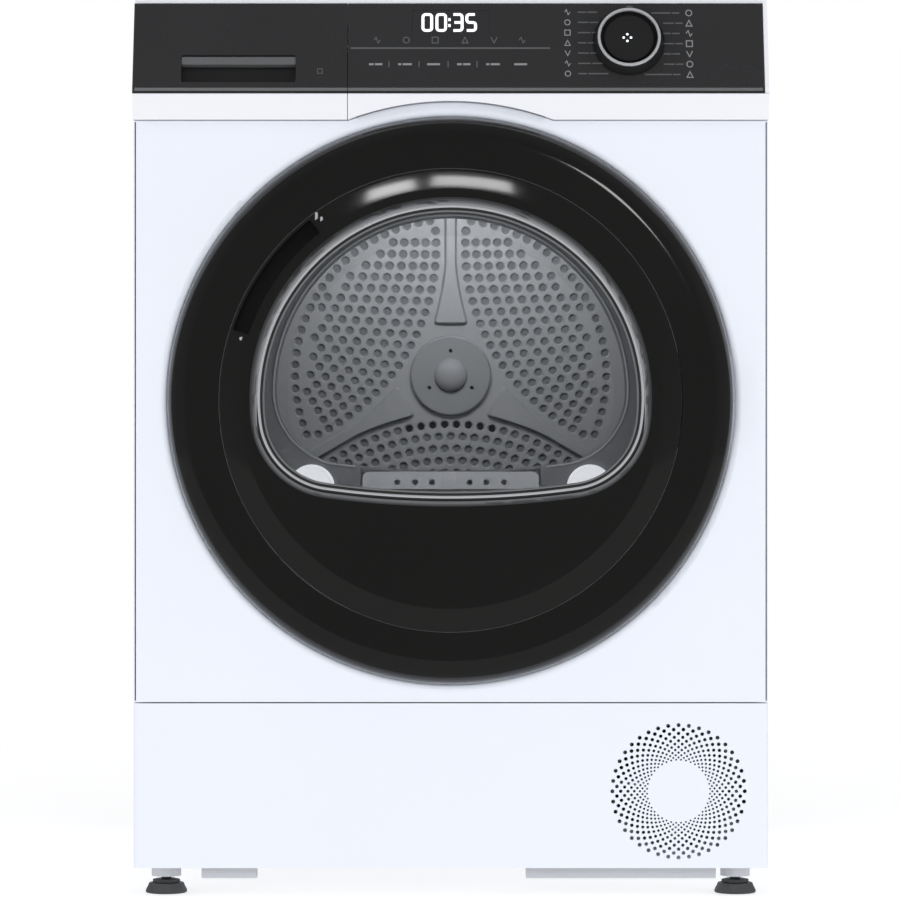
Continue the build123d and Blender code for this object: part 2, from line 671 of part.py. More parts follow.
def make_drum_belt():
    loop = belt_outline(BELT_CLEAR + BELT) - belt_outline(BELT_CLEAR)
    return slab(loop, (BELT_Y, BELT_Y + BELT_WIDTH))


def make_roller(x):
    """Support roller under the drum's front rim."""
    rim = (ROLLER_Y, ROLLER_Y + ROLLER_WIDTH)
    return tube_y(roller_radius(), 6 + RUNNING, x, rim, 250)


def roller_radius():
    """The roller stays a running clearance away from the drum."""
    return hypot(ROLLER_X, DRUM_Z - 250) - DRUM_R - 0.15


# ---- drive and heat pump --------------------------------------------------------------------------
def make_motor_housing():
    """Motor can with two bearing ends."""
    can = tube_y(42, 38, MOTOR_X, (66, 174), MOTOR_Z)
    for y in ((66, 70), (170, 174)):
        can += rod_y(40, MOTOR_X, y, MOTOR_Z) - rod_y(5 + RUNNING, MOTOR_X, (y[0] - 1, y[1] + 1), MOTOR_Z)
    return can


def make_motor_rotor():
    """Rotor, belt pulley and process-air impeller on one shaft."""
    rotor = rod_y(5, MOTOR_X, (58, 278), MOTOR_Z)
    rotor += rod_y(28, MOTOR_X, (85, 155), MOTOR_Z)
    rotor += rod_y(PULLEY_R, MOTOR_X, (BELT_Y - 2, BELT_Y + BELT_WIDTH + 2), MOTOR_Z)
    rotor += rod_y(FAN_R, MOTOR_X, (270, 273), MOTOR_Z)
    blade = Pos(MOTOR_X, MOTOR_Z) * Pos(48, 0) * Rot(0, 0, 20) * Rectangle(42, 2.5)
    for index in range(12):
        turn = Pos(MOTOR_X, MOTOR_Z) * Rot(0, 0, 30 * index) * Pos(-MOTOR_X, -MOTOR_Z)
        rotor += slab(turn * blade, (242, 271))
    return rotor


def make_cooling_fan():
    """Axial fan behind the plinth grille."""
    fan = rod_y(18, GRILLE_X, (-238, -216), GRILLE_Z) + rod_y(4, GRILLE_X, (-218, -204), GRILLE_Z)
    for index in range(7):
        blade = Pos(0, 34, 0) * Rot(0, 35, 0) * Box(18, 38, 2.4)
        fan += Pos(GRILLE_X, -227, GRILLE_Z) * Rot(90, 0, 0) * Rot(0, 0, 360 / 7 * index) * blade
    return fan


def make_compressor():
    """Upright compressor can on three legs."""
    can = rod_z(52, 190, 20, (48, 188))
    can = fillet(can.edges().filter_by(GeomType.CIRCLE), 16)
    for angle in RIB_ANGLES:
        x, y = polar(50, angle, 190, 20)
        can += rod_z(9, x, y, (FLOOR_TOP, 75))
    return can


def make_heat_exchangers():
    """Evaporator in front of the condenser, each a row of fins between two end plates."""
    banks = Part()
    for y in ((-222, -118), (-104, 36)):
        bank = block((-258, -68), y, (FLOOR_TOP, 176))
        for index in range(15):
            x = -252 + 12 * index
            bank -= block((x, x + 9), (y[0] - 1, y[1] + 1), (48, 168))
        banks += bank
    return banks


def make_refrigerant_pipes():
    """Copper lines from the compressor to each heat exchanger."""
    lines = Part()
    for y_start, y_end in ((34, 16), (6, -150)):
        route = [(176, y_start, 188), (176, y_start, 206), (20, y_start, 206)]
        route += [(-20, y_end, 206), (-100, y_end, 206), (-100, y_end, 176)]
        path = FilletPolyline(*route, radius=12)
        lines += sweep(Plane(origin=route[0], z_dir=(0, 0, 1)) * Circle(4), path)
    return lines


def make_condensate_pump():
    """Pump in the rear corner of the base, with the drain spigot through the rear panel."""
    pump = block((-240, -175), (215, 288), (FLOOR_TOP, 96))
    pump += rod_z(14, -205, 262, (90, 188))
    pump += rod_z(6, -205, 262, (186, 206))
    pump += rod_y(6, -205, (256, REAR), 200)
    pump += rod_y(12, -205, (REAR, REAR + 2), 200)
    return pump + rod_y(7, -205, (REAR + 2, DEPTH / 2), 200)


def make_mains_inlet():
    """Recessed mains socket in the rear panel, with three pins."""
    inlet = block((-250, -210), (REAR - 14, REAR + 3), (770, 798))
    inlet -= block((-244, -216), (REAR - 10, REAR + 4), (775, 793))
    for x in (-237, -230, -223):
        inlet += block((x - 1, x + 1), (REAR - 11, REAR), (781, 787))
    return inlet


def make_cabinet_screws():
    """Pan-head screws of the rear panel and the duct cover."""
    screws = Part()
    for z in (60, 240, 420, 600, 780):
        for x in (-285, 285):
            screws += rod_y(4, x, (REAR, REAR + 2.4), z)
    for angle in (0, 45, 90, 135, 180):
        x, z = polar(234.5, angle, 0, DRUM_Z)
        screws += rod_y(4, x, (REAR + 1.5, REAR + 3.9), z)
    for x in (-126, 126):
        screws += rod_y(4, x, (REAR + 1.5, REAR + 3.9), 160)
    return screws


# ---- door -----------------------------------------------------------------------------------------
def make_door_ring():
    """Round outer ring of the door, flat in front with a rounded outer edge."""
    back = FRONT + 2
    rim = FRONT - 8
    bend = (255.6, FRONT - 19.6)          # middle of the rounded edge
    outer = Line((DOOR_R, back), (DOOR_R, rim))
    outer += ThreePointArc((DOOR_R, rim), bend, (CREST_R, RING_Y))
    outer += Line((CREST_R, RING_Y), (CREASE_R, RING_Y))
    inner = Line((CREASE_R, RING_Y), (CREASE_R, RING_Y + SKIN))
    inner += Line((CREASE_R, RING_Y + SKIN), (CREST_R, RING_Y + SKIN))
    inner += ThreePointArc((CREST_R, RING_Y + SKIN), (253.8, FRONT - 17.2), (DOOR_R - SKIN, rim))
    inner += Line((DOOR_R - SKIN, rim), (DOOR_R - SKIN, back)) + Line((DOOR_R - SKIN, back), (DOOR_R, back))
    return turned(outer + inner, 0, DOOR_Z)


def make_door_panel():
    """Raised middle of the door with the window cut-out and a finger grip in its bevelled edge."""
    points = [
        (0, FACE_Y),
        (FACE_R, FACE_Y),
        (CREASE_R, RING_Y),
        (CREASE_R, RING_Y + SKIN),
        (FACE_R, FACE_Y + SKIN),
        (0, FACE_Y + SKIN),
    ]
    panel = turned_polygon(points, 0, DOOR_Z) - slab(offset(window_outline(), 3), (FRONT - 40, FRONT))
    behind = [
        (0, FACE_Y + 1), (FACE_R, FACE_Y + 1), (CREASE_R, RING_Y + 1), (CREASE_R, FRONT - 4), (0, FRONT - 4)
    ]
    cup = slab(sector(195.5, 215, 126.5, 163.5, DOOR_Z), (FRONT - 40, FRONT - 4))
    cup = cup & turned_polygon(behind, 0, DOOR_Z)
    return panel + cup - slab(sector(197.5, 213, 128, 162, DOOR_Z), (FRONT - 40, FRONT - 6))


def make_window_trim():
    """Silver rim round the window."""
    outline = offset(window_outline(), 3) - offset(window_outline(), -1.5)
    return slab(outline, (FACE_Y - 1.5, FACE_Y + SKIN))


def make_door_window():
    """Clear bowl behind the window, with a flange clamped behind the door's middle."""
    flange_y = FACE_Y + SKIN
    mouth = d_shape(174.5, 467.8, 379.9, 66.5)
    end = d_shape(157.0, 468.0, 400.0, 56.0)
    outer = loft([at_depth(mouth, flange_y), at_depth(end, FRONT + 55)])
    inner = loft([at_depth(offset(mouth, -3.5), flange_y), at_depth(offset(end, -3.5), FRONT + 51.5)])
    flange = slab(offset(window_outline(), 4) - offset(mouth, -3.5), (flange_y, flange_y + SKIN))
    return outer - inner + flange


def at_depth(sketch, y):
    return (Plane.XZ.offset(-y) * sketch).face()


def make_door_inner_frame():
    """Rear cover of the door, with a notch that clears the hinge arms."""
    plate = disc(DOOR_R - SKIN - 0.2, 0, DOOR_Z) - d_shape(176.0, 467.8, 376.0, 66.0)
    cover = slab(plate, (FRONT - 1, FRONT + 2))
    cover += tube_y(212, 209, 0, (FRONT - 4, FRONT), DOOR_Z)
    notch = (HINGE_X - 40.5, DOOR_R + 1)
    cover -= block(notch, (FRONT - 20, FRONT + 3), (DOOR_Z - HINGE_ARM_HIGH - 4, DOOR_Z + HINGE_ARM_HIGH + 4))
    return cover


def make_door_seal():
    seal = tube_y(204.5, 198, 0, (FRONT + 2, FRONT + RECESS_DEPTH - 0.5), DOOR_Z)
    return fillet(seal.edges().group_by(Axis.Y)[-1], 2)


def make_hinge_block():
    """Door half of the hinge: a block on the ring's inside that holds the pin."""
    z = (DOOR_Z - HINGE_ARM_LOW + 0.5, DOOR_Z + HINGE_ARM_LOW - 0.5)
    block_part = block((HINGE_X - 12, HINGE_X + 6), (HINGE_Y - 7, FRONT - 1), z)
    return block_part + rod_z(PIN_R, HINGE_X, HINGE_Y, (DOOR_Z - HINGE_ARM_HIGH, DOOR_Z + HINGE_ARM_HIGH))


def make_hinge_bracket():
    """Cabinet half of the hinge: two bent arms on a foot plate in the recess."""
    plate_y = FRONT + RECESS_DEPTH
    bracket = block((208, 236), (plate_y - 4, plate_y), (DOOR_Z - 55, DOOR_Z + 55))
    for side in (-1, 1):
        z = sorted((DOOR_Z + side * HINGE_ARM_LOW, DOOR_Z + side * HINGE_ARM_HIGH))
        bracket += block((208, 216), (HINGE_Y - 4, plate_y), z)
        bracket += block((208, HINGE_X), (HINGE_Y - 4, HINGE_Y + 4), z)
        bracket += rod_z(7, HINGE_X, HINGE_Y, z) - rod_z(PIN_R, HINGE_X, HINGE_Y, z)
        bracket -= rod_z(PIN_R + RUNNING, HINGE_X, HINGE_Y, (z[0] - 1, z[1] + 1))
    for z in (-48, 48):
        bracket += rod_y(3.5, 226, (plate_y - 6, plate_y - 3), DOOR_Z + z)
    return bracket


def make_door_strike():
    """Hook on the back of the door that enters the catch."""
    strike = block((STRIKE_X - 14, STRIKE_X + 14), (FRONT + 2, FRONT + 4.5), (DOOR_Z - 18, DOOR_Z + 18))
    strike += block((STRIKE_X - 4, STRIKE_X + 4), (FRONT + 2, FRONT + 36), (DOOR_Z - 6, DOOR_Z + 6))
    return strike + block((STRIKE_X - 8, STRIKE_X), (FRONT + 30, FRONT + 36), (DOOR_Z - 6, DOOR_Z + 6))


def make_door_catch():
    """Catch box behind the recess, open to the front."""
    box = block((-247, -208), (FRONT + 20, FRONT + 46), (DOOR_Z - 18, DOOR_Z + 18))
    return box - block((-243, -213.5), (FRONT + 19, FRONT + 43), (DOOR_Z - 14, DOOR_Z + 14))


# ---- every node -----------------------------------------------------------------------------------
def make_parts():
    side_panel = make_side_panel()
    parts = {
        "base_tray": make_base_tray(),
        "left_side_panel": mirror(side_panel, Plane.YZ),
        "right_side_panel": side_panel,
        "rear_panel": make_rear_panel(),
        "rear_duct_cover": make_rear_duct_cover(),
        "worktop": make_worktop(),
        "front_panel": make_front_panel(),
        "control_panel": make_control_panel(),
        "control_panel_trim": make_control_panel_trim(),
        "display_window": make_display_window(),
        "control_board": make_control_board(),
        "front_bulkhead": make_front_bulkhead(),
        "drum_seal": make_drum_seal(),
        "rear_bearing": make_rear_bearing(),
        "tank_housing": make_tank_housing(),
        "hinge_bracket": make_hinge_bracket(),
        "door_catch": make_door_catch(),
        "heat_exchanger_cover": make_heat_exchanger_cover(),
        "heat_exchangers": make_heat_exchangers(),
        "compressor": make_compressor(),
        "refrigerant_pipes": make_refrigerant_pipes(),
        "motor_housing": make_motor_housing(),
        "condensate_pump": make_condensate_pump(),
        "drum_belt": make_drum_belt(),
        "roller_covers": make_roller_covers(),
        "mains_inlet": make_mains_inlet(),
        "cabinet_screws": make_cabinet_screws(),
        "door_ring": make_door_ring(),
        "door_panel": make_door_panel(),
        "window_trim": make_window_trim(),
        "door_window": make_door_window(),
        "door_inner_frame": make_door_inner_frame(),
        "door_seal": make_door_seal(),
        "hinge_block": make_hinge_block(),
        "door_strike": make_door_strike(),
        "drum_shell": make_drum_shell(),
        "drum_rear_wall": make_drum_rear_wall(),
        "drum_lifters": make_drum_lifters(),
        "drum_hub": make_drum_hub(),
        "knob_body": make_knob_body(),
        "knob_ring": make_knob_ring(),
        "drawer_front": make_drawer_front(),
        "drawer_trim": make_drawer_trim(),
        "drawer_handle": make_drawer_handle(),
        "water_tank": make_water_tank(),
        "lint_filter_frame": make_lint_filter_frame(),
        "lint_filter_mesh": make_lint_filter_mesh(),
        "plinth_panel": make_plinth_panel(),
        "latch_left": make_latch(-240),
        "latch_right": make_latch(-86),
        "roller_left": make_roller(-ROLLER_X),
        "roller_right": make_roller(ROLLER_X),
        "motor_rotor": make_motor_rotor(),
        "cooling_fan": make_cooling_fan(),
    }
    for side, x in (("left", -FOOT_X), ("right", FOOT_X)):
        for end, y in zip(("front", "rear"), FOOT_Y):
            parts[f"foot_{end}_{side}"] = make_foot(x, y)
    return parts


os.makedirs("parts", exist_ok=True)
for name, shape in make_parts().items():
    export_step(shape, f"parts/{name}.step")
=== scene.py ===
"""Looks of a free-standing clothes dryer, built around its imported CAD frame.

Shapes are drawn in millimetres in the CAD's frame: +Z up, the front faces -Y, x = 0 in the middle.
"""

import json
from math import atan2, cos, degrees, hypot, pi, radians, sin, sqrt, tan

import bmesh
import bpy
from mathutils import Matrix, Vector
from mathutils.geometry import delaunay_2d_cdt


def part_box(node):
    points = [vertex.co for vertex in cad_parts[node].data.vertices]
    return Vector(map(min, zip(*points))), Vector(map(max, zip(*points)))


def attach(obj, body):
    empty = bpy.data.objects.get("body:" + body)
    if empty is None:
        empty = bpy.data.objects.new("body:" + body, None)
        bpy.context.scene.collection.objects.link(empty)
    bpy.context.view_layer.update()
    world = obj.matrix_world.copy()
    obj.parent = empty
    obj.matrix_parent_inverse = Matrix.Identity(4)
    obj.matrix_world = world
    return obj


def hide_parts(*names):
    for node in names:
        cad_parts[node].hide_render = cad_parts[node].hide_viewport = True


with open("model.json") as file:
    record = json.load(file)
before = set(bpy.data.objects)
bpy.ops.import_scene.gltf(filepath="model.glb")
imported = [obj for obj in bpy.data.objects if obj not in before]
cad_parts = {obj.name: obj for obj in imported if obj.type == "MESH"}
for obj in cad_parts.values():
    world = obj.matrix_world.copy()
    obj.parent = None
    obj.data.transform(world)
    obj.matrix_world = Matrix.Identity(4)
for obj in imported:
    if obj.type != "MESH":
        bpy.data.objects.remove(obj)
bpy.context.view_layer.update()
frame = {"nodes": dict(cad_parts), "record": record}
nodes = frame["nodes"]

MM = 0.001
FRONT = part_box("front_panel")[0].y / MM
DOOR_Z = sum(corner.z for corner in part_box("door_ring")) / 2 / MM
DRUM_Z = sum(corner.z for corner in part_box("drum_rear_wall")) / 2 / MM
DRUM_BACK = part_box("drum_rear_wall")[0].y / MM
DRUM_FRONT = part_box("drum_shell")[0].y / MM
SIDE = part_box("front_panel")[1].x / MM
LEAN = radians(18.0)     # the control panel leans back
FASCIA_FRONT = FRONT - 14.0
FASCIA_Z = 753.0


# ---- materials ----
def srgb(*values):
    """Linear colour from 8-bit display values."""
    shares = [value / 255 for value in values]
    return tuple(s / 12.92 if s <= 0.04045 else ((s + 0.055) / 1.055) ** 2.4 for s in shares)


def blank_tree(owner):
    """Emptied node tree of a material or world."""
    owner.use_nodes = True
    owner.node_tree.nodes.clear()
    return owner.node_tree


def add(tree, kind, inputs=None, **settings):
    """Add a shader node; inputs holds plain values, or the nodes and sockets that feed it."""
    node = tree.nodes.new("ShaderNode" + kind)
    for key, value in settings.items():
        setattr(node, key, value)
    for key, value in (inputs or {}).items():
        if isinstance(value, bpy.types.Node):
            value = value.outputs[0]
        if isinstance(value, bpy.types.NodeSocket):
            tree.links.new(value, node.inputs[key])
        else:
            node.inputs[key].default_value = value
    return node


def scaled(colour, by):
    return *(min(1.0, channel * by) for channel in colour), 1


def look(
    name, colour, roughness, metallic=0.0, cloud=0.06, cloud_scale=7.0, uneven=0.08, grain=0.02,
    grain_scale=1400.0, stretch=(1.0, 1.0, 1.0), emission=0.0, **sockets
):
    """Material with cloudy colour, uneven gloss and a fine grain in its surface."""
    material = bpy.data.materials.new(name)
    tree = blank_tree(material)
    place = add(tree, "TexCoord").outputs["Object"]
    spread = add(tree, "Mapping", {"Vector": place, "Scale": stretch})
    clouds = add(tree, "TexNoise", {"Vector": place, "Scale": cloud_scale, "Detail": 4.0})
    fine = add(tree, "TexNoise", {"Vector": spread, "Scale": grain_scale, "Detail": 2.0})
    shades = {0: clouds, 6: scaled(colour, 1 - cloud), 7: scaled(colour, 1 + cloud)}
    shade = add(tree, "Mix", shades, data_type="RGBA").outputs[2]
    gloss = add(
        tree, "MapRange",
        {"Value": clouds, "From Min": 0.3, "From Max": 0.7, "To Min": roughness * (1 - uneven),
         "To Max": min(1.0, roughness * (1 + uneven))},
    )
    bump = add(tree, "Bump", {"Height": fine, "Strength": grain, "Distance": 0.0005})
    shader = add(
        tree, "BsdfPrincipled",
        {"Base Color": shade, "Roughness": gloss, "Metallic": metallic, "Normal": bump,
         "Emission Color": (*colour, 1), "Emission Strength": emission, **sockets},
    )
    add(tree, "OutputMaterial", {"Surface": shader})
    return material


ENAMEL = {"cloud": 0.012, "grain": 0.05, "grain_scale": 420.0, "Specular IOR Level": 0.4}
MOULDED = {"grain": 0.12, "grain_scale": 1800.0}
BLACK_GLOSS = {
    "cloud": 0.1, "uneven": 0.15, "grain": 0.006, "grain_scale": 300.0, "Specular IOR Level": 0.4,
}
BRUSHED = {"metallic": 1.0, "grain": 0.25, "grain_scale": 260.0, "cloud": 0.08}

# displayed red, green and blue, roughness and further settings of each look
LOOK_TABLE = {
    "base_plastic": (206, 208, 213, 0.5, MOULDED),
    "cabinet_white": (236, 240, 249, 0.34, ENAMEL),
    "plinth_white": (236, 240, 249, 0.4, ENAMEL),
    "trim_white": (240, 241, 245, 0.4, ENAMEL),
    "worktop_white": (238, 240, 244, 0.48, MOULDED),
    "galvanised_steel": (186, 190, 194, 0.42, {"stretch": (1, 1, 0.05), **BRUSHED}),
    "rear_cover_plastic": (196, 198, 202, 0.55, MOULDED),
    "fascia_black": (48, 48, 49, 0.27, BLACK_GLOSS),
    "door_black": (23, 23, 22, 0.1, BLACK_GLOSS),
    "display_glass": (48, 48, 50, 0.27, BLACK_GLOSS),
    "knob_black": (34, 34, 35, 0.34, BLACK_GLOSS),
    "handle_grey": (96, 97, 99, 0.34, {"stretch": (0.06, 1, 1), "grain": 0.3, "grain_scale": 900.0}),
    "circuit_board": (20, 92, 52, 0.4, {"cloud": 0.3, "cloud_scale": 60.0}),
    "bulkhead_grey": (126, 127, 130, 0.42, MOULDED),
    "filter_plastic": (205, 206, 209, 0.42, MOULDED),
    "filter_mesh": (60, 60, 64, 0.8, {"grain": 0.6, "grain_scale": 2500.0}),
    "felt": (
        118, 116, 110, 0.95, {"cloud": 0.2, "cloud_scale": 80.0, "grain": 0.9, "grain_scale": 900.0},
    ),
    "bearing_plastic": (52, 52, 54, 0.5, MOULDED),
    "inner_plastic": (172, 174, 178, 0.5, MOULDED),
    "zinc": (200, 201, 204, 0.34, {"metallic": 1.0, "grain": 0.1, "grain_scale": 700.0}),
    "catch_plastic": (44, 44, 46, 0.5, MOULDED),
    "fin_aluminium": (214, 216, 219, 0.32, {"stretch": (40, 1, 1), **BRUSHED}),
    "compressor_black": (30, 30, 32, 0.25, BLACK_GLOSS),
    "copper": (206, 132, 96, 0.28, {"metallic": 1.0, "cloud": 0.16, "cloud_scale": 40.0}),
    "motor_steel": (190, 191, 193, 0.4, {"stretch": (1, 8, 1), **BRUSHED}),
    "pump_plastic": (70, 71, 74, 0.5, MOULDED),
    "belt_rubber": (30, 30, 31, 0.8, {"grain": 0.4, "grain_scale": 700.0}),
    # the round covers' glow is painted light
    "cover_white": (246, 247, 250, 0.4, {"emission": 0.52, **MOULDED}),
    "socket_black": (32, 32, 33, 0.5, MOULDED),
    "screw_zinc": (205, 206, 208, 0.3, {"metallic": 1.0, "grain": 0.1}),
    "trim_silver": (232, 233, 236, 0.26, {"metallic": 0.6, "grain": 0.01}),
    "door_rear_grey": (112, 113, 116, 0.45, MOULDED),
    "seal_rubber": (48, 48, 49, 0.75, {"grain": 0.2, "grain_scale": 900.0}),
    "drum_steel": (196, 198, 201, 0.3, {"stretch": (1, 1, 0.1), **BRUSHED}),
    "lifter_plastic": (120, 121, 125, 0.42, MOULDED),
    "tank_plastic": (220, 224, 229, 0.35, {"Subsurface Weight": 0.2, **MOULDED}),
    "latch_blue": (66, 98, 142, 0.42, MOULDED),
    "roller_plastic": (214, 212, 205, 0.5, MOULDED),
    "rotor_steel": (176, 177, 180, 0.35, BRUSHED),
    "fan_black": (40, 40, 42, 0.45, MOULDED),
    "foot_black": (72, 74, 75, 0.42, MOULDED),
    # bright metal look for thin edges: a painted highlight on the plates' lower bevels and the window rim's
    # lip
    "painted_edge_highlight": (205, 206, 208, 0.3, {"metallic": 0.9}),
    "drum_wall": (166, 168, 171, 0.4, {"metallic": 0.5, "cloud": 0.08, "grain": 0.15}),
    "drum_screen": (92, 94, 97, 0.7, {"cloud": 0.3, "cloud_scale": 40.0, "grain": 0.5}),
    "hub_steel": (152, 154, 157, 0.26, {"metallic": 0.5, "grain": 0.1}),
    "dome_steel": (150, 152, 155, 0.24, {"metallic": 0.4, "grain": 0.05}),
    "print_dim": (92, 93, 95, 0.5, {"grain": 0.0}),
    "print_grey": (140, 141, 144, 0.5, {"grain": 0.0}),
    # glowing white of the lit display; on the knob's printed dots the glow is painted light
    "digit_white": (245, 247, 250, 0.4, {"grain": 0.0, "emission": 0.55}),
}
LOOKS = {
    name: look(name, srgb(*colour), roughness, **settings)
    for name, (*colour, roughness, settings) in LOOK_TABLE.items()
}
RIM_PAINTED_SHADES = (134, 100, 72, 50)   # painted shade: the window rim's slope is drawn in grey strips that get darker outwards


def window_glass():
    """Clear glass that lets light straight through and mirrors more at a slant."""
    material = bpy.data.materials.new("window_glass")
    tree = blank_tree(material)
    place = add(tree, "TexCoord").outputs["Object"]
    waves = add(tree, "TexNoise", {"Vector": place, "Scale": 9.0, "Detail": 1.0})
    bump = add(tree, "Bump", {"Height": waves, "Strength": 0.05, "Distance": 0.002})
    mirror = add(
        tree, "BsdfPrincipled",
        {"Base Color": (0.02, 0.02, 0.02, 1), "Roughness": 0.03, "Normal": bump,
         "Specular IOR Level": 1.0, "Coat Weight": 1.0, "Coat Roughness": 0.02},
    )
    clear = add(tree, "BsdfTransparent", {"Color": (0.975, 0.98, 0.985, 1)})
    slant = add(tree, "LayerWeight", {"Blend": 0.15}).outputs["Fresnel"]
    share = add(tree, "MapRange", {"Value": slant, "To Min": 0.01, "To Max": 0.12})
    surface = add(tree, "MixShader", {0: share, 1: clear, 2: mirror})
    add(tree, "OutputMaterial", {"Surface": surface})
    return material


LOOKS["window_glass"] = window_glass()
# grey looks for the painted shade strips of the window rim's slope
for step, shade in enumerate(RIM_PAINTED_SHADES):
    name = f"rim_slope_{step}"
    LOOKS[name] = look(name, srgb(shade, shade + 1, shade + 3), 0.35)

node_slots = {row["node"]: row["material_slot"] for row in frame["record"]["subparts"]}
for name, node in nodes.items():
    node.data.materials.clear()
    node.data.materials.append(LOOKS[node_slots[name]])


# ---- outlines ----
def blended(low, high, share):
    return low + (high - low) * share


def between(low, high, share):
    return tuple(blended(a, b, share) for a, b in zip(low, high))


def bend(start, middle, end, steps=4):
    """Points of a smooth bend from start to end, pulled towards the middle point."""
    shares = [index / steps for index in range(steps + 1)]
    return [between(between(start, middle, share), between(middle, end, share), share) for share in shares]


def rounded(points, reaches, steps=5, closed=True):
    """Round the corners of a polyline; a reach is how far the rounding starts from its corner."""
    result = []
    for index, corner in enumerate(points):
        here = Vector(corner)
        at_end = not closed and index in (0, len(points) - 1)
        if at_end or reaches[index] <= 0:
            result.append(tuple(here))
            continue
        sides = [Vector(points[index - 1]), Vector(points[(index + 1) % len(points)])]
        cuts = [
            here + (side - here).normalized() * min(reaches[index], 0.48 * (side - here).length)
            for side in sides
        ]
        result += bend(cuts[0], here, cuts[1], steps)
    return result


def arc(centre, radius, start, stop, steps):
    """Points on a circle between two angles in degrees, ends included."""
    angles = [radians(blended(start, stop, index / steps)) for index in range(steps + 1)]
    return [(centre[0] + radius * cos(a), centre[1] + radius * sin(a)) for a in angles]


def circle(x, z, radius, steps):
    return arc((x, z), radius, 0, 360 * (1 - 1 / steps), steps - 1)


def rectangle(x, z):
    return [(x[0], z[0]), (x[1], z[0]), (x[1], z[1]), (x[0], z[1])]


def d_loop(shape, grow=0.0):
    """Outline of the round window with a gently bowed foot; grow moves it outwards."""
    radius, centre_z, foot_z, corner, foot_radius = shape
    foot_centre = foot_z + foot_radius
    near, far = radius - corner, foot_radius - corner
    corner_z = (near**2 - far**2 - centre_z**2 + foot_centre**2) / (2 * (foot_centre - centre_z))
    corner_x = sqrt(near**2 - (corner_z - centre_z) ** 2)
    side = degrees(atan2(corner_z - centre_z, corner_x))
    foot = degrees(atan2(corner_z - foot_centre, corner_x))
    right = arc((corner_x, corner_z), corner + grow, foot, side, 24)
    top = arc((0, centre_z), radius + grow, side, 180 - side, 128)
    left = [(-x, z) for x, z in reversed(right)]
    bottom = arc((0, foot_centre), foot_radius + grow, -180 - foot, foot, 40)
    return right[:-1] + top[:-1] + left[:-1] + bottom[:-1]


# radius, centre height, foot height, corner radius and foot radius of the D-shaped outlines
WINDOW = (178.5, 467.8, 375.9, 70.5, 843.0)
BOWL_MOUTH = (174.5, 467.8, 379.9, 66.5, 843.0)
BOWL_END = (157.0, 468.0, 400.0, 56.0, 843.0)
THROAT_BACK = (168.0, 475.0, 400.0, 70.0, 843.0)
# the window rim's lower profile, with its wider groove and its own layout of painted shade strips, turns
# into its upper one between these heights
RIM_CHANGE = (435.0, 465.0)


# ---- building pieces ----
class Shape:
    """Points and faces of one piece, in millimetres; a face's kind picks its material."""

    def __init__(self):
        self.points = []
        self.faces = []
        self.kinds = []

    def add(self, points, faces, kind=0):
        first = len(self.points)
        self.points += [tuple(point) for point in points]
        self.faces += [tuple(first + index for index in face) for face in faces]
        self.kinds += [kind] * len(faces)

    def skin(self, loops, kind=0, ring=False, caps=(False, False)):
        """Stretch faces over a row of closed loops with the same number of points."""
        count = len(loops[0])
        faces = []
        for row in range(len(loops) if ring else len(loops) - 1):
            here, there = row * count, (row + 1) % len(loops) * count
            for column in range(count):
                beside = (column + 1) % count
                faces.append((here + column, here + beside, there + beside, there + column))
        if caps[0]:
            faces.append(tuple(reversed(range(count))))
        if caps[1]:
            faces.append(tuple(range((len(loops) - 1) * count, len(loops) * count)))
        self.add([point for loop in loops for point in loop], faces, kind)

    def turn(self, profile, x, z, steps, kind=0, ring=False, caps=(False, False)):
        """Turn a profile of radius and depth about a line along Y."""
        loops = [[(px, y, pz) for px, pz in circle(x, z, radius, steps)] for radius, y in profile]
        self.skin(loops, kind, ring, caps)

    def fill(self, loops, place, kind=0, keep=()):
        """Face between an outline and the holes in it.

        place turns two coordinates and the number of their loop into a point. The loops in keep are
        lines on the face instead of holes.
        """
        corners = [Vector(point) for loop in loops for point in loop]
        owner = [number for number, loop in enumerate(loops) for _ in loop]
        edges = []
        first = 0
        for loop in loops:
            edges += [(first + i, first + (i + 1) % len(loop)) for i in range(len(loop))]
            first += len(loop)
        found, _, triangles, sources, _, _ = delaunay_2d_cdt(corners, edges, [], 0, 1e-4)
        loop_of = [owner[source[0]] if source else -1 for source in sources]
        kept = []
        for triangle in triangles:
            owners = {loop_of[index] for index in triangle}
            if len(owners) > 1 or owners & {0, *keep}:
                kept.append(triangle)
        self.add([place(p.x, p.y, loop_of[i]) for i, p in enumerate(found)], kept, kind)

    def sweep_d(self, outline, profile, kind=0, foot_profile=None):
        """Carry a closed profile of outward growth and depth round a D outline.

        A foot profile takes over along the lower part of the outline.
        """
        low, high = RIM_CHANGE
        loops = []
        for (grow, y), (foot_grow, foot_y) in zip(profile, foot_profile or profile):
            loop = []
            for (x, z), (foot_x, foot_z) in zip(d_loop(outline, grow), d_loop(outline, foot_grow)):
                share = min(1.0, max(0.0, (high - z) / (high - low)))
                loop.append(between((x, y, z), (foot_x, foot_y, foot_z), share))
            loops.append(loop)
        self.skin(loops, kind, ring=True)

    def move(self, matrix):
        self.points = [tuple(matrix @ Vector(point)) for point in self.points]


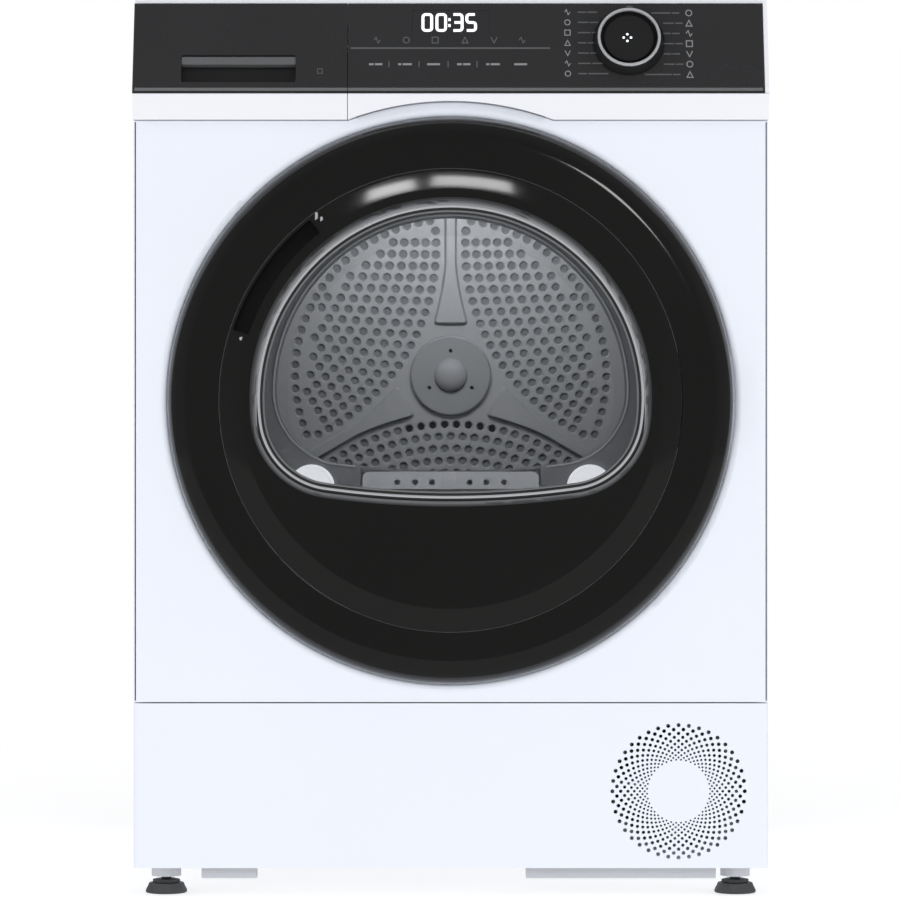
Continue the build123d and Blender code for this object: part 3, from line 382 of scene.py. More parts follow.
def piece(name, shape, body, slot, replaces=(), looks=(), sharp=38):
    """Make a mesh object of a shape and hang it on its CAD body.

    Its look is that of its slot unless looks names others, one for each kind of face.
    """
    mesh = bpy.data.meshes.new(name)
    mesh.from_pydata([tuple(c * MM for c in point) for point in shape.points], [], shape.faces)
    mesh.polygons.foreach_set("material_index", shape.kinds)
    for key in looks or [slot]:
        mesh.materials.append(LOOKS[key])
    work = bmesh.new()
    work.from_mesh(mesh)
    bmesh.ops.remove_doubles(work, verts=work.verts, dist=2e-6)
    bmesh.ops.recalc_face_normals(work, faces=work.faces)
    work.to_mesh(mesh)
    work.free()
    made = bpy.data.objects.new(name, mesh)
    bpy.context.scene.collection.objects.link(made)
    mesh.shade_smooth()
    mesh.set_sharp_from_angle(angle=radians(sharp))
    weighted = made.modifiers.new("weighted_normals", "WEIGHTED_NORMAL")
    weighted.keep_sharp = True
    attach(made, body)
    if replaces:
        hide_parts(*replaces)


def flat(y):
    """Placing function for Shape.fill: every point at one depth."""
    return lambda x, z, loop: (x, y, z)


def at_depths(outline, *depths):
    return [[(x, y, z) for x, z in outline] for y in depths]


def raised(outline, *heights):
    """An outline lifted to several heights."""
    return [[(x, y, height) for x, y in outline] for height in heights]


def lathe(profile, steps):
    """Loops about the local Z axis for a profile of radius and height."""
    return [raised(circle(0, 0, radius, steps), height)[0] for radius, height in profile]


# ---- door ----
DOOR_R = 264.0
CREST_R = 242.0          # the outer ring is flat from here inwards
CREASE_R = 216.0         # foot of the raised middle's bevel
FACE_R = 195.0           # top of the bevel
RING_Y = FRONT - 24.0
FACE_Y = FRONT - 30.5
SKIN = 3.0
ROLL_R = 23.1            # radius of the ring's rounded outer edge
GRIP_ANGLES = (128.0, 162.0)
GRIP_RADII = (197.5, 213.0)
GRIP_FLOOR = FRONT - 6.0
GRIP_WALL = 1.8
BEVEL_CROWN = 0.27       # the bevel bulges this much
RIM_SEAT = 3.0           # the window hole lies this far outside the rim's crest


def make_door_ring():
    rim = FRONT - 8.0
    roll = (CREST_R, RING_Y + ROLL_R)
    crease = CREASE_R + 0.1
    outer = [(crease, RING_Y + SKIN), (crease, RING_Y + 0.6)]
    outer += bend((crease, RING_Y + 0.6), (crease, RING_Y), (crease + 0.6, RING_Y))
    outer += [(228.0, RING_Y)] + arc(roll, ROLL_R, -90, -17.9, 28)
    outer += [(DOOR_R, rim), (DOOR_R, FRONT + 1.4), (DOOR_R - 0.6, FRONT + 2.0)]
    inner = [(DOOR_R - SKIN, FRONT + 2.0), (DOOR_R - SKIN, rim)] + arc(roll, ROLL_R - SKIN, -22, -90, 16)
    shape = Shape()
    shape.turn(outer + inner, 0, DOOR_Z, 360, ring=True)
    piece("door_ring_gloss", shape, "door", "door_black", ["door_ring"])


def middle_skin(stations, angles, radii, limits, floor):
    """Rows of points over the raised middle, sunk to a floor inside the finger grip."""
    rows = []
    for radius, depth in stations:
        row = []
        for angle in angles:
            in_grip = radii[0] < radius < radii[1] and limits[0] < angle < limits[1]
            x, z = arc((0, DOOR_Z), radius, angle, angle, 1)[0]
            row.append((x, floor if in_grip else depth, z))
        rows.append(row)
    return rows


def bevel(radius):
    """Radius and depth of a point on the crowned bevel round the raised middle."""
    share = (radius - FACE_R) / (CREASE_R - FACE_R)
    crown = 4 * BEVEL_CROWN * share * (1 - share)
    return radius, blended(FACE_Y, RING_Y, share) - crown


def make_door_middle():
    """Raised middle with a bevelled edge, the window hole and a finger grip on the left."""
    step = 0.1
    start = 191.0
    edge = CREASE_R - 0.3
    near, far = GRIP_RADII
    front = [(start, FACE_Y), (193.0, FACE_Y)] + bend((193.4, FACE_Y), (FACE_R, FACE_Y), bevel(196.8))
    front += [bevel(r) for r in (near - step, near + step, *range(199, 212, 2), far - step, far + step)]
    front += bend(bevel(214.4), (edge, RING_Y), (edge, RING_Y + 0.8)) + [(edge, RING_Y + SKIN)]
    low, high = near - GRIP_WALL, far + GRIP_WALL
    back = [(start, FACE_Y + SKIN), (194.0, FACE_Y + SKIN)]
    back += [(r, bevel(r)[1] + SKIN) for r in (low - step, low + step, 205.0, high - step, high + step)]
    back += [(edge, RING_Y + SKIN)]
    lean = degrees(GRIP_WALL / FACE_R)
    wide = (GRIP_ANGLES[0] - lean, GRIP_ANGLES[1] + lean)
    angles = [float(a) for a in range(360) if a not in GRIP_ANGLES]
    for limit in GRIP_ANGLES + wide:
        angles += [limit - 0.04, limit + 0.04]
    angles.sort()
    outside = middle_skin(front, angles, GRIP_RADII, GRIP_ANGLES, GRIP_FLOOR)
    inside = middle_skin(back, angles, (low, high), wide, GRIP_FLOOR + GRIP_WALL)
    hole = d_loop(WINDOW, RIM_SEAT)
    shape = Shape()
    for rows, depth in ((outside, FACE_Y), (inside, FACE_Y + SKIN)):
        shape.skin(rows)
        shape.fill([[(x, z) for x, _, z in rows[0]], hole], flat(depth))
    shape.skin(at_depths(hole, FACE_Y, FACE_Y + SKIN))
    piece("door_middle_gloss", shape, "door", "door_black", ["door_panel"])


def make_window_rim():
    """Silver rim round the window: a bright crest, a thin inner lip and an outer slope.

    The lip's bright metal look is a painted highlight. The slope is drawn in grey strips that get darker
    outwards: painted shade. Round the lower part a groove parts it from the crest; the groove is real,
    and its black stands in part for painted shade in it.
    """
    back = FACE_Y + 2.9
    crest = [(-1.3, back), (-1.35, FACE_Y - 0.3), (-1.1, FACE_Y - 1.0), (-0.5, FACE_Y - 1.4),
             (0.3, FACE_Y - 1.5), (1.0, FACE_Y - 1.1), (1.3, FACE_Y - 0.4), (1.35, back)]
    gutter = [(-1.2, FACE_Y + 1.2), (-3.7, FACE_Y + 1.2), (-3.7, back), (-1.2, back)]
    lip = [(-3.6, back), (-3.6, FACE_Y + 0.5), (-4.0, FACE_Y), (-4.8, FACE_Y), (-5.3, FACE_Y + 0.6),
           (-5.4, back)]
    shape = Shape()
    for kind, profile in enumerate((crest, gutter, lip)):
        shape.sweep_d(WINDOW, profile, kind)
    # the groove is real, and it is wide round the foot and closed at the top; its black rubber look stands
    # in part for painted shade in it
    sunk = FACE_Y + 0.8
    groove, foot_groove = ([(1.2, sunk), (far, sunk), (far, back), (1.2, back)] for far in (1.3, 3.95))
    shape.sweep_d(WINDOW, groove, 1, foot_groove)
    # borders between the painted shade strips of the outer slope, for its upper and its lower part
    borders = ((1.25, 3.1, 4.9, 6.7, 8.5), (3.85, 3.9, 6.4, 7.6, 8.6))
    heights = [FACE_Y + rise for rise in (-0.5, -0.62, -0.6, -0.35, -0.05)]
    under = FACE_Y + 0.3
    for step in range(len(RIM_PAINTED_SHADES)):
        strip, foot_strip = (
            [(part[step], heights[step]), (part[step + 1], heights[step + 1]),
             (part[step + 1], under), (part[step], under)]
            for part in borders
        )
        shape.sweep_d(WINDOW, strip, 3 + step, foot_strip)
    looks = ["trim_silver", "seal_rubber", "painted_edge_highlight"]
    looks += [f"rim_slope_{step}" for step in range(len(RIM_PAINTED_SHADES))]
    piece("window_rim", shape, "door", "trim_silver", ["window_trim"], looks=looks, sharp=60)


def make_window_bowl():
    """Clear bowl with a rounded end and a flange clamped behind the door's middle."""
    mouth_y = FACE_Y + SKIN
    end_y = FRONT + 55.0
    thick = 3.5
    turn_r = 12.0

    def wall(grow, end, radius):
        rows = [(share, grow, blended(mouth_y, end - radius, share)) for share in (0, 0.25, 0.5, 0.75, 1)]
        for step in range(1, 7):
            turn = radians(15 * step)
            rows.append((1.0, grow - radius * (1 - cos(turn)), end - radius * (1 - sin(turn))))
        return rows

    def loop(share, grow, y):
        return at_depths(d_loop(between(BOWL_MOUTH, BOWL_END, share), grow), y)[0]

    outer = [loop(*row) for row in wall(0.0, end_y, turn_r)]
    inner = [loop(*row) for row in wall(-thick, end_y - thick, turn_r - thick)]
    flange = at_depths(d_loop(WINDOW, 3.8), mouth_y + 0.05, mouth_y + SKIN)
    neck = loop(0.08, 0.0, mouth_y + SKIN)
    shape = Shape()
    shape.skin(list(reversed(inner)) + flange + [neck] + outer[1:], caps=(True, True))
    piece("window_bowl", shape, "door", "window_glass", ["door_window"], sharp=50)


# ---- drum ----
DRUM_R = 280.0
DRUM_SHEET = 1.5
RIB_ANGLES = (90, 210, 330)
HOLE_PITCH = 12.8
HOLE_ROWS = 9
HOLE_ROW_FIRST = 53.0    # the innermost row's distance from the hub
HOLE_ROW_GAP = 13.0
HOLE_ROW_BEND = 225.0    # radius that the rows are bent to
HOLE_RIM_ROW = 168.0
HUB_R = 43.5
DIMPLE = ((5.15, 0.0), (4.9, 0.2), (4.5, 0.8), (3.9, 1.7), (3.55, 2.0), (3.5, 2.6))
RIB_HEIGHT = 6.0
RIB_START = 57.0
RIB_STOP = 262.0
RIB_NARROW = 4.3         # half width of a rib's top near the rim
RIB_FLARE = 11.9         # and what it gains at the hub
RIB_FLANK = 2.4          # width of a rib's sloping side
SCREEN_RADII = (46.0, 272.0)
SCREEN_BACK = 2.7        # the screen lies this far behind the wall
HUB_SHADE_ROW = (40.0, 59.0)  # holes this far under the hub's middle are closed with black caps: painted shade under the hub
HUB_SHADE_REACH = 50.0


def sector_holes():
    """Air-hole centres in one third of the rear wall, along and across its middle line."""
    places = []
    for row in range(HOLE_ROWS):
        for step in range(-12, 13):
            turn = (step + 0.5 * ((row + 1) % 2)) * HOLE_PITCH / HOLE_ROW_BEND
            along = HOLE_ROW_FIRST + row * HOLE_ROW_GAP + HOLE_ROW_BEND * (1 - cos(turn))
            across = HOLE_ROW_BEND * sin(turn)
            if hypot(along, across) < HOLE_RIM_ROW - HOLE_ROW_GAP * 0.8:
                places.append((along, across))
    for step in range(-12, 13):
        turn = step * HOLE_PITCH / HOLE_RIM_ROW
        if abs(turn) < radians(60) - 15 / HOLE_RIM_ROW:
            places.append((HOLE_RIM_ROW * cos(turn), HOLE_RIM_ROW * sin(turn)))
    return places


def towards(angle, along, across=0.0):
    """Point of the rear wall from a direction, the way along it and the way across it."""
    c, s = cos(radians(angle)), sin(radians(angle))
    return along * c - across * s, DRUM_Z + along * s + across * c


def rib_outline(angle, grow):
    """Outline of a pressed rib, wide at the hub and narrow towards the rim."""
    half = []
    for along in [RIB_START - grow] + [RIB_START + 6 * step for step in range(1, 12)] + [RIB_STOP + grow]:
        flare = max(0.0, (123.0 - along) / 66.0) ** 1.5
        half.append((along, RIB_NARROW + RIB_FLARE * flare + grow))
    outline = half + [(along, -across) for along, across in reversed(half)]
    corner = 3.0 + grow
    reaches = [corner] + [0] * (len(outline) - 2) + [corner]
    return rounded([towards(angle, *place) for place in outline], reaches, 3)


def make_drum_wall():
    """Rear wall with countersunk air holes and three pressed ribs, and the screen behind it."""
    loops = [circle(0, DRUM_Z, DRUM_R - DRUM_SHEET - 0.1, 192)]
    for angle in RIB_ANGLES:
        loops += [rib_outline(angle, RIB_FLANK), rib_outline(angle, 0.0)]
    ribs = range(1, len(loops))
    tops = ribs[1::2]
    steps = 16
    centres = [towards(angle - 60, *place) for angle in RIB_ANGLES for place in sector_holes()]
    loops += [circle(x, z, DIMPLE[0][0], steps) for x, z in centres]

    def place(x, z, loop):
        return x, DRUM_BACK - (RIB_HEIGHT if loop in tops else 0.0), z

    dimple = [(radius, DRUM_BACK + down) for radius, down in DIMPLE]
    painted_shade_caps = [(radius, DRUM_BACK + DIMPLE[-1][1]) for radius in (DIMPLE[-1][0], 0.3)]
    shape = Shape()
    shape.fill(loops, place, keep=ribs)
    for x, z in centres:
        shape.turn(dimple, x, z, steps)
        # black caps in the holes just under the hub: painted shade
        if abs(x) < HUB_SHADE_REACH and HUB_SHADE_ROW[0] < DRUM_Z - z < HUB_SHADE_ROW[1]:
            shape.turn(painted_shade_caps, x, z, steps, kind=1, caps=(False, True))
    looks = ["drum_wall", "socket_black"]
    piece("drum_wall_pressed", shape, "drum", "drum_steel", ["drum_rear_wall"], looks=looks, sharp=50)
    inner, outer = SCREEN_RADII
    front, back = DRUM_BACK + SCREEN_BACK, DRUM_BACK + SCREEN_BACK + 0.4
    screen = Shape()
    screen.turn([(inner, front), (outer, front), (outer, back), (inner, back)], 0, DRUM_Z, 128, ring=True)
    piece("drum_air_screen", screen, "drum", "drum_steel", looks=["drum_screen"])


def make_drum_shell():
    """Rolled drum with a folded front rim and raised beads."""
    inner_r = DRUM_R - DRUM_SHEET
    back = DRUM_BACK + DRUM_SHEET
    inside = [(inner_r, back), (inner_r, DRUM_BACK - 4)]
    for y in (DRUM_BACK - 60, DRUM_BACK - 205, DRUM_BACK - 350):
        inside += [(inner_r - depth, y + shift)
                   for shift, depth in ((9, 0), (5, 1.2), (0, 1.8), (-5, 1.2), (-9, 0))]
    inside += [(inner_r, DRUM_FRONT + 1.0), (inner_r + 0.4, DRUM_FRONT)]
    outside = [(DRUM_R - 0.4, DRUM_FRONT), (DRUM_R, DRUM_FRONT + 1.0), (DRUM_R, back)]
    shape = Shape()
    shape.turn(inside + outside, 0, DRUM_Z, 256, ring=True)
    piece("drum_shell_beaded", shape, "drum", "drum_steel", ["drum_shell"])


def make_lifters():
    """Three rounded lifters with sloping ends."""
    inner = DRUM_R - DRUM_SHEET - 0.2
    foot = 31.0
    edge = sqrt(inner**2 - foot**2)
    # share of the way to the rear wall, and the height there
    stations = ((0, 2), (0.02, 16), (0.06, 44), (0.1, 52), (0.9, 52), (0.94, 44), (0.98, 16), (1, 2))
    shape = Shape()
    for angle in RIB_ANGLES:
        loops = []
        for share, height in stations:
            half = 12 + 19 * (1 - height / 54)
            top = inner - height
            section = [(top, -half), (top, half), (edge, foot), (inner, 0), (edge, -foot)]
            depth = blended(DRUM_FRONT + 30, DRUM_BACK - 6, share)
            places = [towards(angle, *point) for point in rounded(section, [8, 8, 0, 0, 0])]
            loops.append([(x, depth, z) for x, z in places])
        shape.skin(loops, caps=(True, True))
    piece("lifters_rounded", shape, "drum", "lifter_plastic", ["drum_lifters"], sharp=50)


def make_hub():
    """Hub disc with a dome and three small screw holes, and the shaft behind it."""
    front = DRUM_BACK - 6.0
    back = DRUM_BACK + 0.5
    collar_r = 18.4
    dome_r = 17.6
    dome_height = 9.0
    screw_circle = 26.4
    edge = bend((HUB_R - 3.0, front), (HUB_R, front), (HUB_R, front + 4.0), 6)
    holes = [circle(*towards(angle, screw_circle), 2.1, 20) for angle in RIB_ANGLES]
    loops = [circle(0, DRUM_Z, HUB_R - 3.0, 128), circle(0, DRUM_Z, collar_r, 64)] + holes
    dome = [(collar_r, front), (18.0, front - 0.1), (17.8, front - 0.5)]
    dome += [(x, front - 1.0 - y * dome_height / dome_r) for x, y in arc((0, 0), dome_r, 0, 84, 14)]
    shaft = [(HUB_R, back), (10.0, back), (10.0, DRUM_BACK + 49.4), (9.4, DRUM_BACK + 50.0)]
    shape = Shape()
    shape.turn(edge + [(HUB_R, back)], 0, DRUM_Z, 128)
    shape.fill(loops, flat(front))
    for hole in holes:
        shape.skin(at_depths(hole, front, front + 2.6), kind=1, caps=(False, True))
    shape.turn(dome, 0, DRUM_Z, 64, kind=2, caps=(False, True))
    shape.turn(shaft, 0, DRUM_Z, 128, caps=(False, True))
    looks = ["hub_steel", "socket_black", "dome_steel"]
    piece("hub_domed", shape, "drum", "drum_steel", ["drum_hub"], looks=looks, sharp=50)


# ---- control panel ----
PANEL_LEFT = -96.5       # seam between the drawer front and the control panel
PANEL_RIGHT = SIDE - 4.3
SEAM = 0.6
PLATE = 1.3              # the gloss plates stand this far out of the leaning face
PLATE_EDGE = 2.6         # width of a plate's bevelled lower edge
FACE_Z = (755.0, 839.2)
GRIP = ((-252.2, -144.8), (762.9, 789.2))
DISPLAY = ((-36.0, 36.0), (809.2, 832.8))
GLASS = PLATE - 0.25     # the display glass stands this far out
KNOB = (166.7, 801.6)
KNOB_SEAT_R = 33.8
PRINT = 0.06             # thickness of a printed mark


def up_face(z, proud=0.0):
    """Distance up the leaning face to a point at a height, for a point proud of the face."""
    return (z - proud * sin(LEAN) - FASCIA_Z) / cos(LEAN)


def on_face(x, z):
    """Frame at a point of the leaning face: right, up along the face, and out of it."""
    axes = Matrix(((1, 0, 0), (0, sin(LEAN), cos(LEAN)), (0, -cos(LEAN), sin(LEAN)))).transposed()
    matrix = axes.to_4x4()
    matrix.translation = Vector((x, FASCIA_FRONT + (z - FASCIA_Z) * tan(LEAN), z))
    return matrix


FACE = on_face(0, FASCIA_Z)


def face_window(x, z, inset=0.0, reach=0.6):
    low, high = (up_face(height) for height in z)
    outline = rectangle((x[0] + inset, x[1] - inset), (low + inset, high - inset))
    return rounded(outline, [reach] * 4)


def make_plate(name, x, rounds, body, holes):
    """Bevelled gloss plate on the leaning face; rounds says which ends have rounded corners."""
    low, high = (up_face(z) for z in FACE_Z)
    left, right = (3.4 if side else 0.15 for side in rounds)
    reaches = [left, right, right, left]
    base = rounded(rectangle(x, (low, high)), reaches)
    ends = (x[0] + 1.4 * rounds[0], x[1] - 1.4 * rounds[1])
    top = rounded(rectangle(ends, (low + PLATE_EDGE, high - 0.7)), reaches)
    shape = Shape()
    shape.fill([base] + holes, lambda u, v, loop: (u, v, 0.02))
    shape.skin(raised(base, 0.02, 0.3))
    for index, foot in enumerate(base):
        after = (index + 1) % len(base)
        # the lower bevel faces get the bright metal look: a painted highlight on the black plate
        lower = max(foot[1], base[after][1]) < low + 1.0
        corners = [(*foot, 0.3), (*base[after], 0.3), (*top[after], PLATE), (*top[index], PLATE)]
        shape.add(corners, [(0, 1, 2, 3)], kind=1 if lower else 0)
    shape.fill([top] + holes, lambda u, v, loop: (u, v, PLATE))
    for hole in holes:
        shape.skin(raised(hole, PLATE, 0.02))
    shape.move(FACE)
    piece(name, shape, body, "fascia_black", looks=["fascia_black", "painted_edge_highlight"], sharp=20)


def make_plates():
    grip = face_window(*GRIP, reach=3.0)
    make_plate("drawer_plate", (0.3 - SIDE, PANEL_LEFT - SEAM / 2), (True, False), "tank_drawer", [grip])
    seat = circle(KNOB[0], up_face(KNOB[1]), KNOB_SEAT_R, 96)
    holes = [face_window(*DISPLAY), seat]
    make_plate("control_plate", (PANEL_LEFT + SEAM / 2, PANEL_RIGHT), (False, True), "cabinet", holes)


def make_display_glass():
    shape = Shape()
    shape.skin(raised(face_window(*DISPLAY, inset=0.08), -1.4, GLASS), caps=(True, True))
    shape.move(FACE)
    piece("display_glass", shape, "cabinet", "display_glass", ["display_window"])


def make_drawer_bar():
    """Grip bar with rounded long edges over the finger recess."""
    section = rounded([(-4.2, 0.4), (4.2, 0.4), (4.2, -7.2), (-4.2, -7.2)], [1.8, 1.8, 0.4, 0.4])
    shape = Shape()
    shape.skin([[(x, v, w) for v, w in section] for x in (-53.3, 53.3)], caps=(True, True))
    shape.move(on_face(-198.5, 784.4))
    piece("drawer_bar", shape, "tank_drawer", "handle_grey", ["drawer_handle"], sharp=30)


def make_knob():
    """Round knob with a cone skirt, a sunk cap, a bright ring and four dots."""
    skirt = bend((32.4, 0.5), (33.0, 0.5), (32.9, 1.2), 3)
    skirt += bend((30.4, 11.6), (30.2, 12.5), (29.7, 12.6)) + [(26.9, 12.6), (26.4, 12.2), (25.9, 8.0)]
    cap = [(24.6, 7.2), (23.9, 7.4)] + bend((23.4, 10.0), (23.2, 11.0), (22.4, 11.1))
    cap += [(18.0, 11.0), (9.0, 10.8), (1.0, 10.75)]
    shape = Shape()
    shape.skin(lathe([(4.0, 0.5)] + skirt + cap, 144), caps=(False, True))
    shape.skin(lathe([(4.0, 0.5), (4.0, -10.6), (3.6, -11.0)], 144), caps=(False, True))
    shape.move(on_face(*KNOB))
    body = "programme_knob"
    piece("knob_turned", shape, body, "knob_black", ["knob_body"], sharp=45)
    ring = Shape()
    profile = [(29.5, 12.3), (29.6, 13.4), (29.2, 14.4), (28.4, 14.95), (27.6, 14.8), (26.9, 14.2),
               (26.7, 12.3)]
    ring.skin(lathe(profile, 180), ring=True)
    ring.move(on_face(*KNOB))
    piece("knob_ring_bright", ring, body, "trim_silver", ["knob_ring"], sharp=60)
    dots = Shape()
    for x, v in ((0, 3.4), (3.4, 0), (0, -3.4), (-3.4, 0)):
        wide, narrow = (circle(x - 1.6, v + 0.4, radius, 20) for radius in (1.2, 0.9))
        loops = raised(wide, 10.72, 10.84) + raised(narrow, 10.9)
        dots.skin(loops, caps=(True, True))
    dots.move(on_face(*KNOB))
    # the printed dots take the glowing digit look; their glow is painted light
    piece("knob_dots", dots, body, "knob_black", looks=["digit_white"])


# ---- printed marks ----
def stroke(shape, points, width, proud=PLATE, reach=0.0, closed=False):
    """Printed line of constant width through points of x and height, with rounded corners."""
    path = [(x, up_face(z, proud)) for x, z in points]
    if reach:
        path = rounded(path, [reach] * len(path), closed=closed)
    count = len(path)
    edges = ([], [])
    for index, here in enumerate(path):
        before = path[index - 1] if closed or index else here
        after = path[(index + 1) % count] if closed or index < count - 1 else here
        into = (Vector(here) - Vector(before)).normalized()
        out = (Vector(after) - Vector(here)).normalized()
        along = (into + out).normalized()
        spread = width / 2 / max(0.5, along.dot(out if out.length else into))
        across = Vector((-along.y, along.x)) * spread
        edges[0].append(Vector(here) + across)
        edges[1].append(Vector(here) - across)
    low, high = proud - 0.05, proud + PRINT
    sections = [
        [(*first, low), (*first, high), (*second, high), (*second, low)] for first, second in zip(*edges)
    ]
    shape.skin(sections, ring=closed, caps=(not closed, not closed))


# digit strokes on a cell one wide and one high
DIGITS = {
    "0": [([(0, 0), (1, 0), (1, 1), (0, 1)], True)],
    "3": [([(0, 1), (1, 1), (1, 0), (0, 0)], False), ([(0.12, 0.5), (0.9, 0.5)], False)],
    "5": [([(0.92, 1), (0, 1), (0, 0.5), (1, 0.5), (1, 0), (0, 0)], False)],
}
DIGIT_SIZE = (8.2, 15.6)
DIGIT_FOOT = 813.4
DIGIT_STROKE = 2.7


def make_digits():
    shape = Shape()
    for digit, centre in zip("0035", (-22.0, -8.9, 6.6, 19.2)):
        for path, closed in DIGITS[digit]:
            places = [(centre + (x - 0.5) * DIGIT_SIZE[0], DIGIT_FOOT + z * DIGIT_SIZE[1]) for x, z in path]
            stroke(shape, places, DIGIT_STROKE, GLASS, reach=3.0, closed=closed)
    for z in (818.2, 824.0):
        stroke(shape, [(-1.2, z - 1.4), (-1.2, z + 1.4)], 2.2, GLASS)
    shape.move(FACE)
    piece("display_digits", shape, "cabinet", "display_glass", looks=["digit_white"], sharp=60)


def dashes(shape, x, z, lengths, height=1.3):
    """Row of short bars that stands for a line of small print."""
    for length in lengths:
        stroke(shape, [(x, z), (x + length, z)], height)
        x += length + 1.2


SIGNS = ("wave", "circle", "square", "triangle", "chevron")


def sign(shape, kind, x, z, size):
    """Small generic sign drawn with one line."""
    half = size / 2
    low, high = z - half, z + half
    outlines = {
        "square": rectangle((x - half, x + half), (low, high)),
        "triangle": [(x - half, low), (x + half, low), (x, high)],
        "circle": circle(x, z, half, 20),
        "wave": [(x - half, z), (x - half / 3, high), (x + half / 3, low), (x + half, z)],
        "chevron": [(x - half, high), (x, low), (x + half, high)],
    }
    stroke(shape, outlines[kind], size * 0.17, closed=kind in ("square", "triangle", "circle"))


KEYS = (-69.0, -41.7, -14.6, 13.4, 40.6, 66.9)     # middles of the touch keys
KEY_SIGN_Z = 804.0
KEY_LINE_Z = 796.2
CAPTION_Z = 780.6
CAPTIONS = ((4.4, 7.0), (3.0, 8.6), (12.0,))
PROGRAMME_ROWS = 7
PROGRAMME_TOP = 831.2
PROGRAMME_PITCH = 9.95
RIGHT_DROP = 0.8         # the right-hand rows lie this much lower
SIGN_COLUMNS = (109.5, 223.6)
LINE_COLUMNS = (119.2, 199.4)
LONGER_LEFT = (0, 0, 0, 0, 0, 5.0, 10.0)           # what each row's lines gain round the knob
LONGER_RIGHT = (11.0, 0, 0, 0, 0, 0, 18.0)


def print_keys(faint, clear):
    """Signs, captions and separators of the touch keys."""
    for number, x in enumerate(KEYS):
        sign(faint, SIGNS[number % len(SIGNS)], x, KEY_SIGN_Z, 5.6)
        dashes(clear, x - 7.5, CAPTION_Z, CAPTIONS[number % len(CAPTIONS)], height=2.0)
    for x in (-57.8, -29.7, -2.5, 24.6):
        stroke(faint, [(x, CAPTION_Z - 3.0), (x, CAPTION_Z + 3.0)], 1.0)
    stroke(faint, [(-93.8, KEY_LINE_Z), (93.0, KEY_LINE_Z)], 1.5)


def print_programmes(faint, clear):
    """Rows of lines and signs on both sides of the knob, and a mark above it."""
    for row in range(PROGRAMME_ROWS):
        z = PROGRAMME_TOP - PROGRAMME_PITCH * row
        left, right = LONGER_LEFT[row], LONGER_RIGHT[row]
        dashes(faint, LINE_COLUMNS[0], z, (8.0 + row % 3 * 2.0, 9.0 - row % 3 + left))
        dashes(faint, LINE_COLUMNS[1] - right, z - RIGHT_DROP, (7.0 + row % 2 * 3.0 + right, 7.0))
        sign(clear, SIGNS[row % len(SIGNS)], SIGN_COLUMNS[0], z, 5.0)
        sign(clear, SIGNS[(row * 2 + 1) % len(SIGNS)], SIGN_COLUMNS[1], z - RIGHT_DROP, 5.6)
    stroke(faint, [(165.0, 836.6), (171.0, 836.6)], 1.4)


def make_print():
    """Printed marks of the control panel and the drawer, without lettering."""
    faint, clear, drawer = Shape(), Shape(), Shape()
    print_keys(faint, clear)
    print_programmes(faint, clear)
    sign(drawer, "square", -122.3, 774.0, 4.4)
    for shape, name, material, body in (
        (faint, "print_faint", "print_dim", "cabinet"),
        (clear, "print_clear", "print_grey", "cabinet"),
        (drawer, "drawer_sign", "print_dim", "tank_drawer"),
    ):
        shape.move(FACE)
        piece(name, shape, body, "fascia_black", looks=[material])


# ---- small parts in front ----
SHELF_Y = FRONT + 64.0
# angle, radius, width and height of the painted highlights (glints) at the grip's ends: two at its top and
# one at its foot
GRIP_GLINTS = ((126.4, 210.5, 2.6, 11.0), (125.6, 206.3, 2.4, 6.0), (163.6, 203.0, 3.2, 3.2))


def make_grip_glints():
    """Painted highlights: small silver glints on the door's bevel, at the ends of the finger grip."""
    shape = Shape()
    for angle, radius, width, height in GRIP_GLINTS:
        share = (radius - FACE_R) / (CREASE_R - FACE_R)
        depth = blended(FACE_Y, RING_Y, share) - BEVEL_CROWN - 0.2
        x, z = arc((0, DOOR_Z), radius, angle, angle, 1)[0]
        outline = rectangle((x - width / 2, x + width / 2), (z - height / 2, z + height / 2))
        outline = rounded(outline, [width * 0.4] * 4)
        shape.skin(at_depths(outline, depth, depth + 1.6), caps=(True, True))
    piece("grip_marks", shape, "door", "trim_silver", sharp=60)


def make_round_covers():
    """Two round white covers with a rolled edge and a shallow dish."""
    front = SHELF_Y - 3.5
    profile = [(22.0, SHELF_Y)] + bend((22.0, front + 1.4), (22.0, front), (20.6, front))
    profile += bend((19.6, front), (18.8, front), (18.2, front + 0.7))
    profile += [(9.0, front + 0.9), (0.5, front + 0.95)]
    shape = Shape()
    for x in (-132.7, 132.7):
        shape.turn(profile, x, 384.0, 96, caps=(True, True))
    # the covers' look glows: painted light
    piece("round_covers", shape, "cabinet", "cover_white", ["roller_covers"], sharp=50)


def make_throat_bead():
    """Rolled edge round the rear of the loading throat, open above the lint filter."""
    gap = 88.5
    gap_top = 430.0
    radius = 1.1
    middle = d_loop(THROAT_BACK, 1.2)
    inside = d_loop(THROAT_BACK, 0.2)
    start = next(i for i, (x, z) in enumerate(middle) if z < gap_top and middle[i - 1][0] < gap <= x)
    sections = []
    for index in range(start, start + len(middle)):
        (x, z), (ix, iz) = middle[index % len(middle)], inside[index % len(middle)]
        if z < gap_top and abs(x) < gap:
            continue
        section = []
        for angle in range(0, 360, 30):
            out, back = radius * cos(radians(angle)), radius * sin(radians(angle))
            section.append((x + (x - ix) * out, SHELF_Y - 0.4 + back, z + (z - iz) * out))
        sections.append(section)
    shape = Shape()
    shape.skin(sections, caps=(True, True))
    # a lighter grey than the bulkhead: a painted highlight along the bead
    piece("throat_bead", shape, "cabinet", "bulkhead_grey", looks=["inner_plastic"], sharp=60)


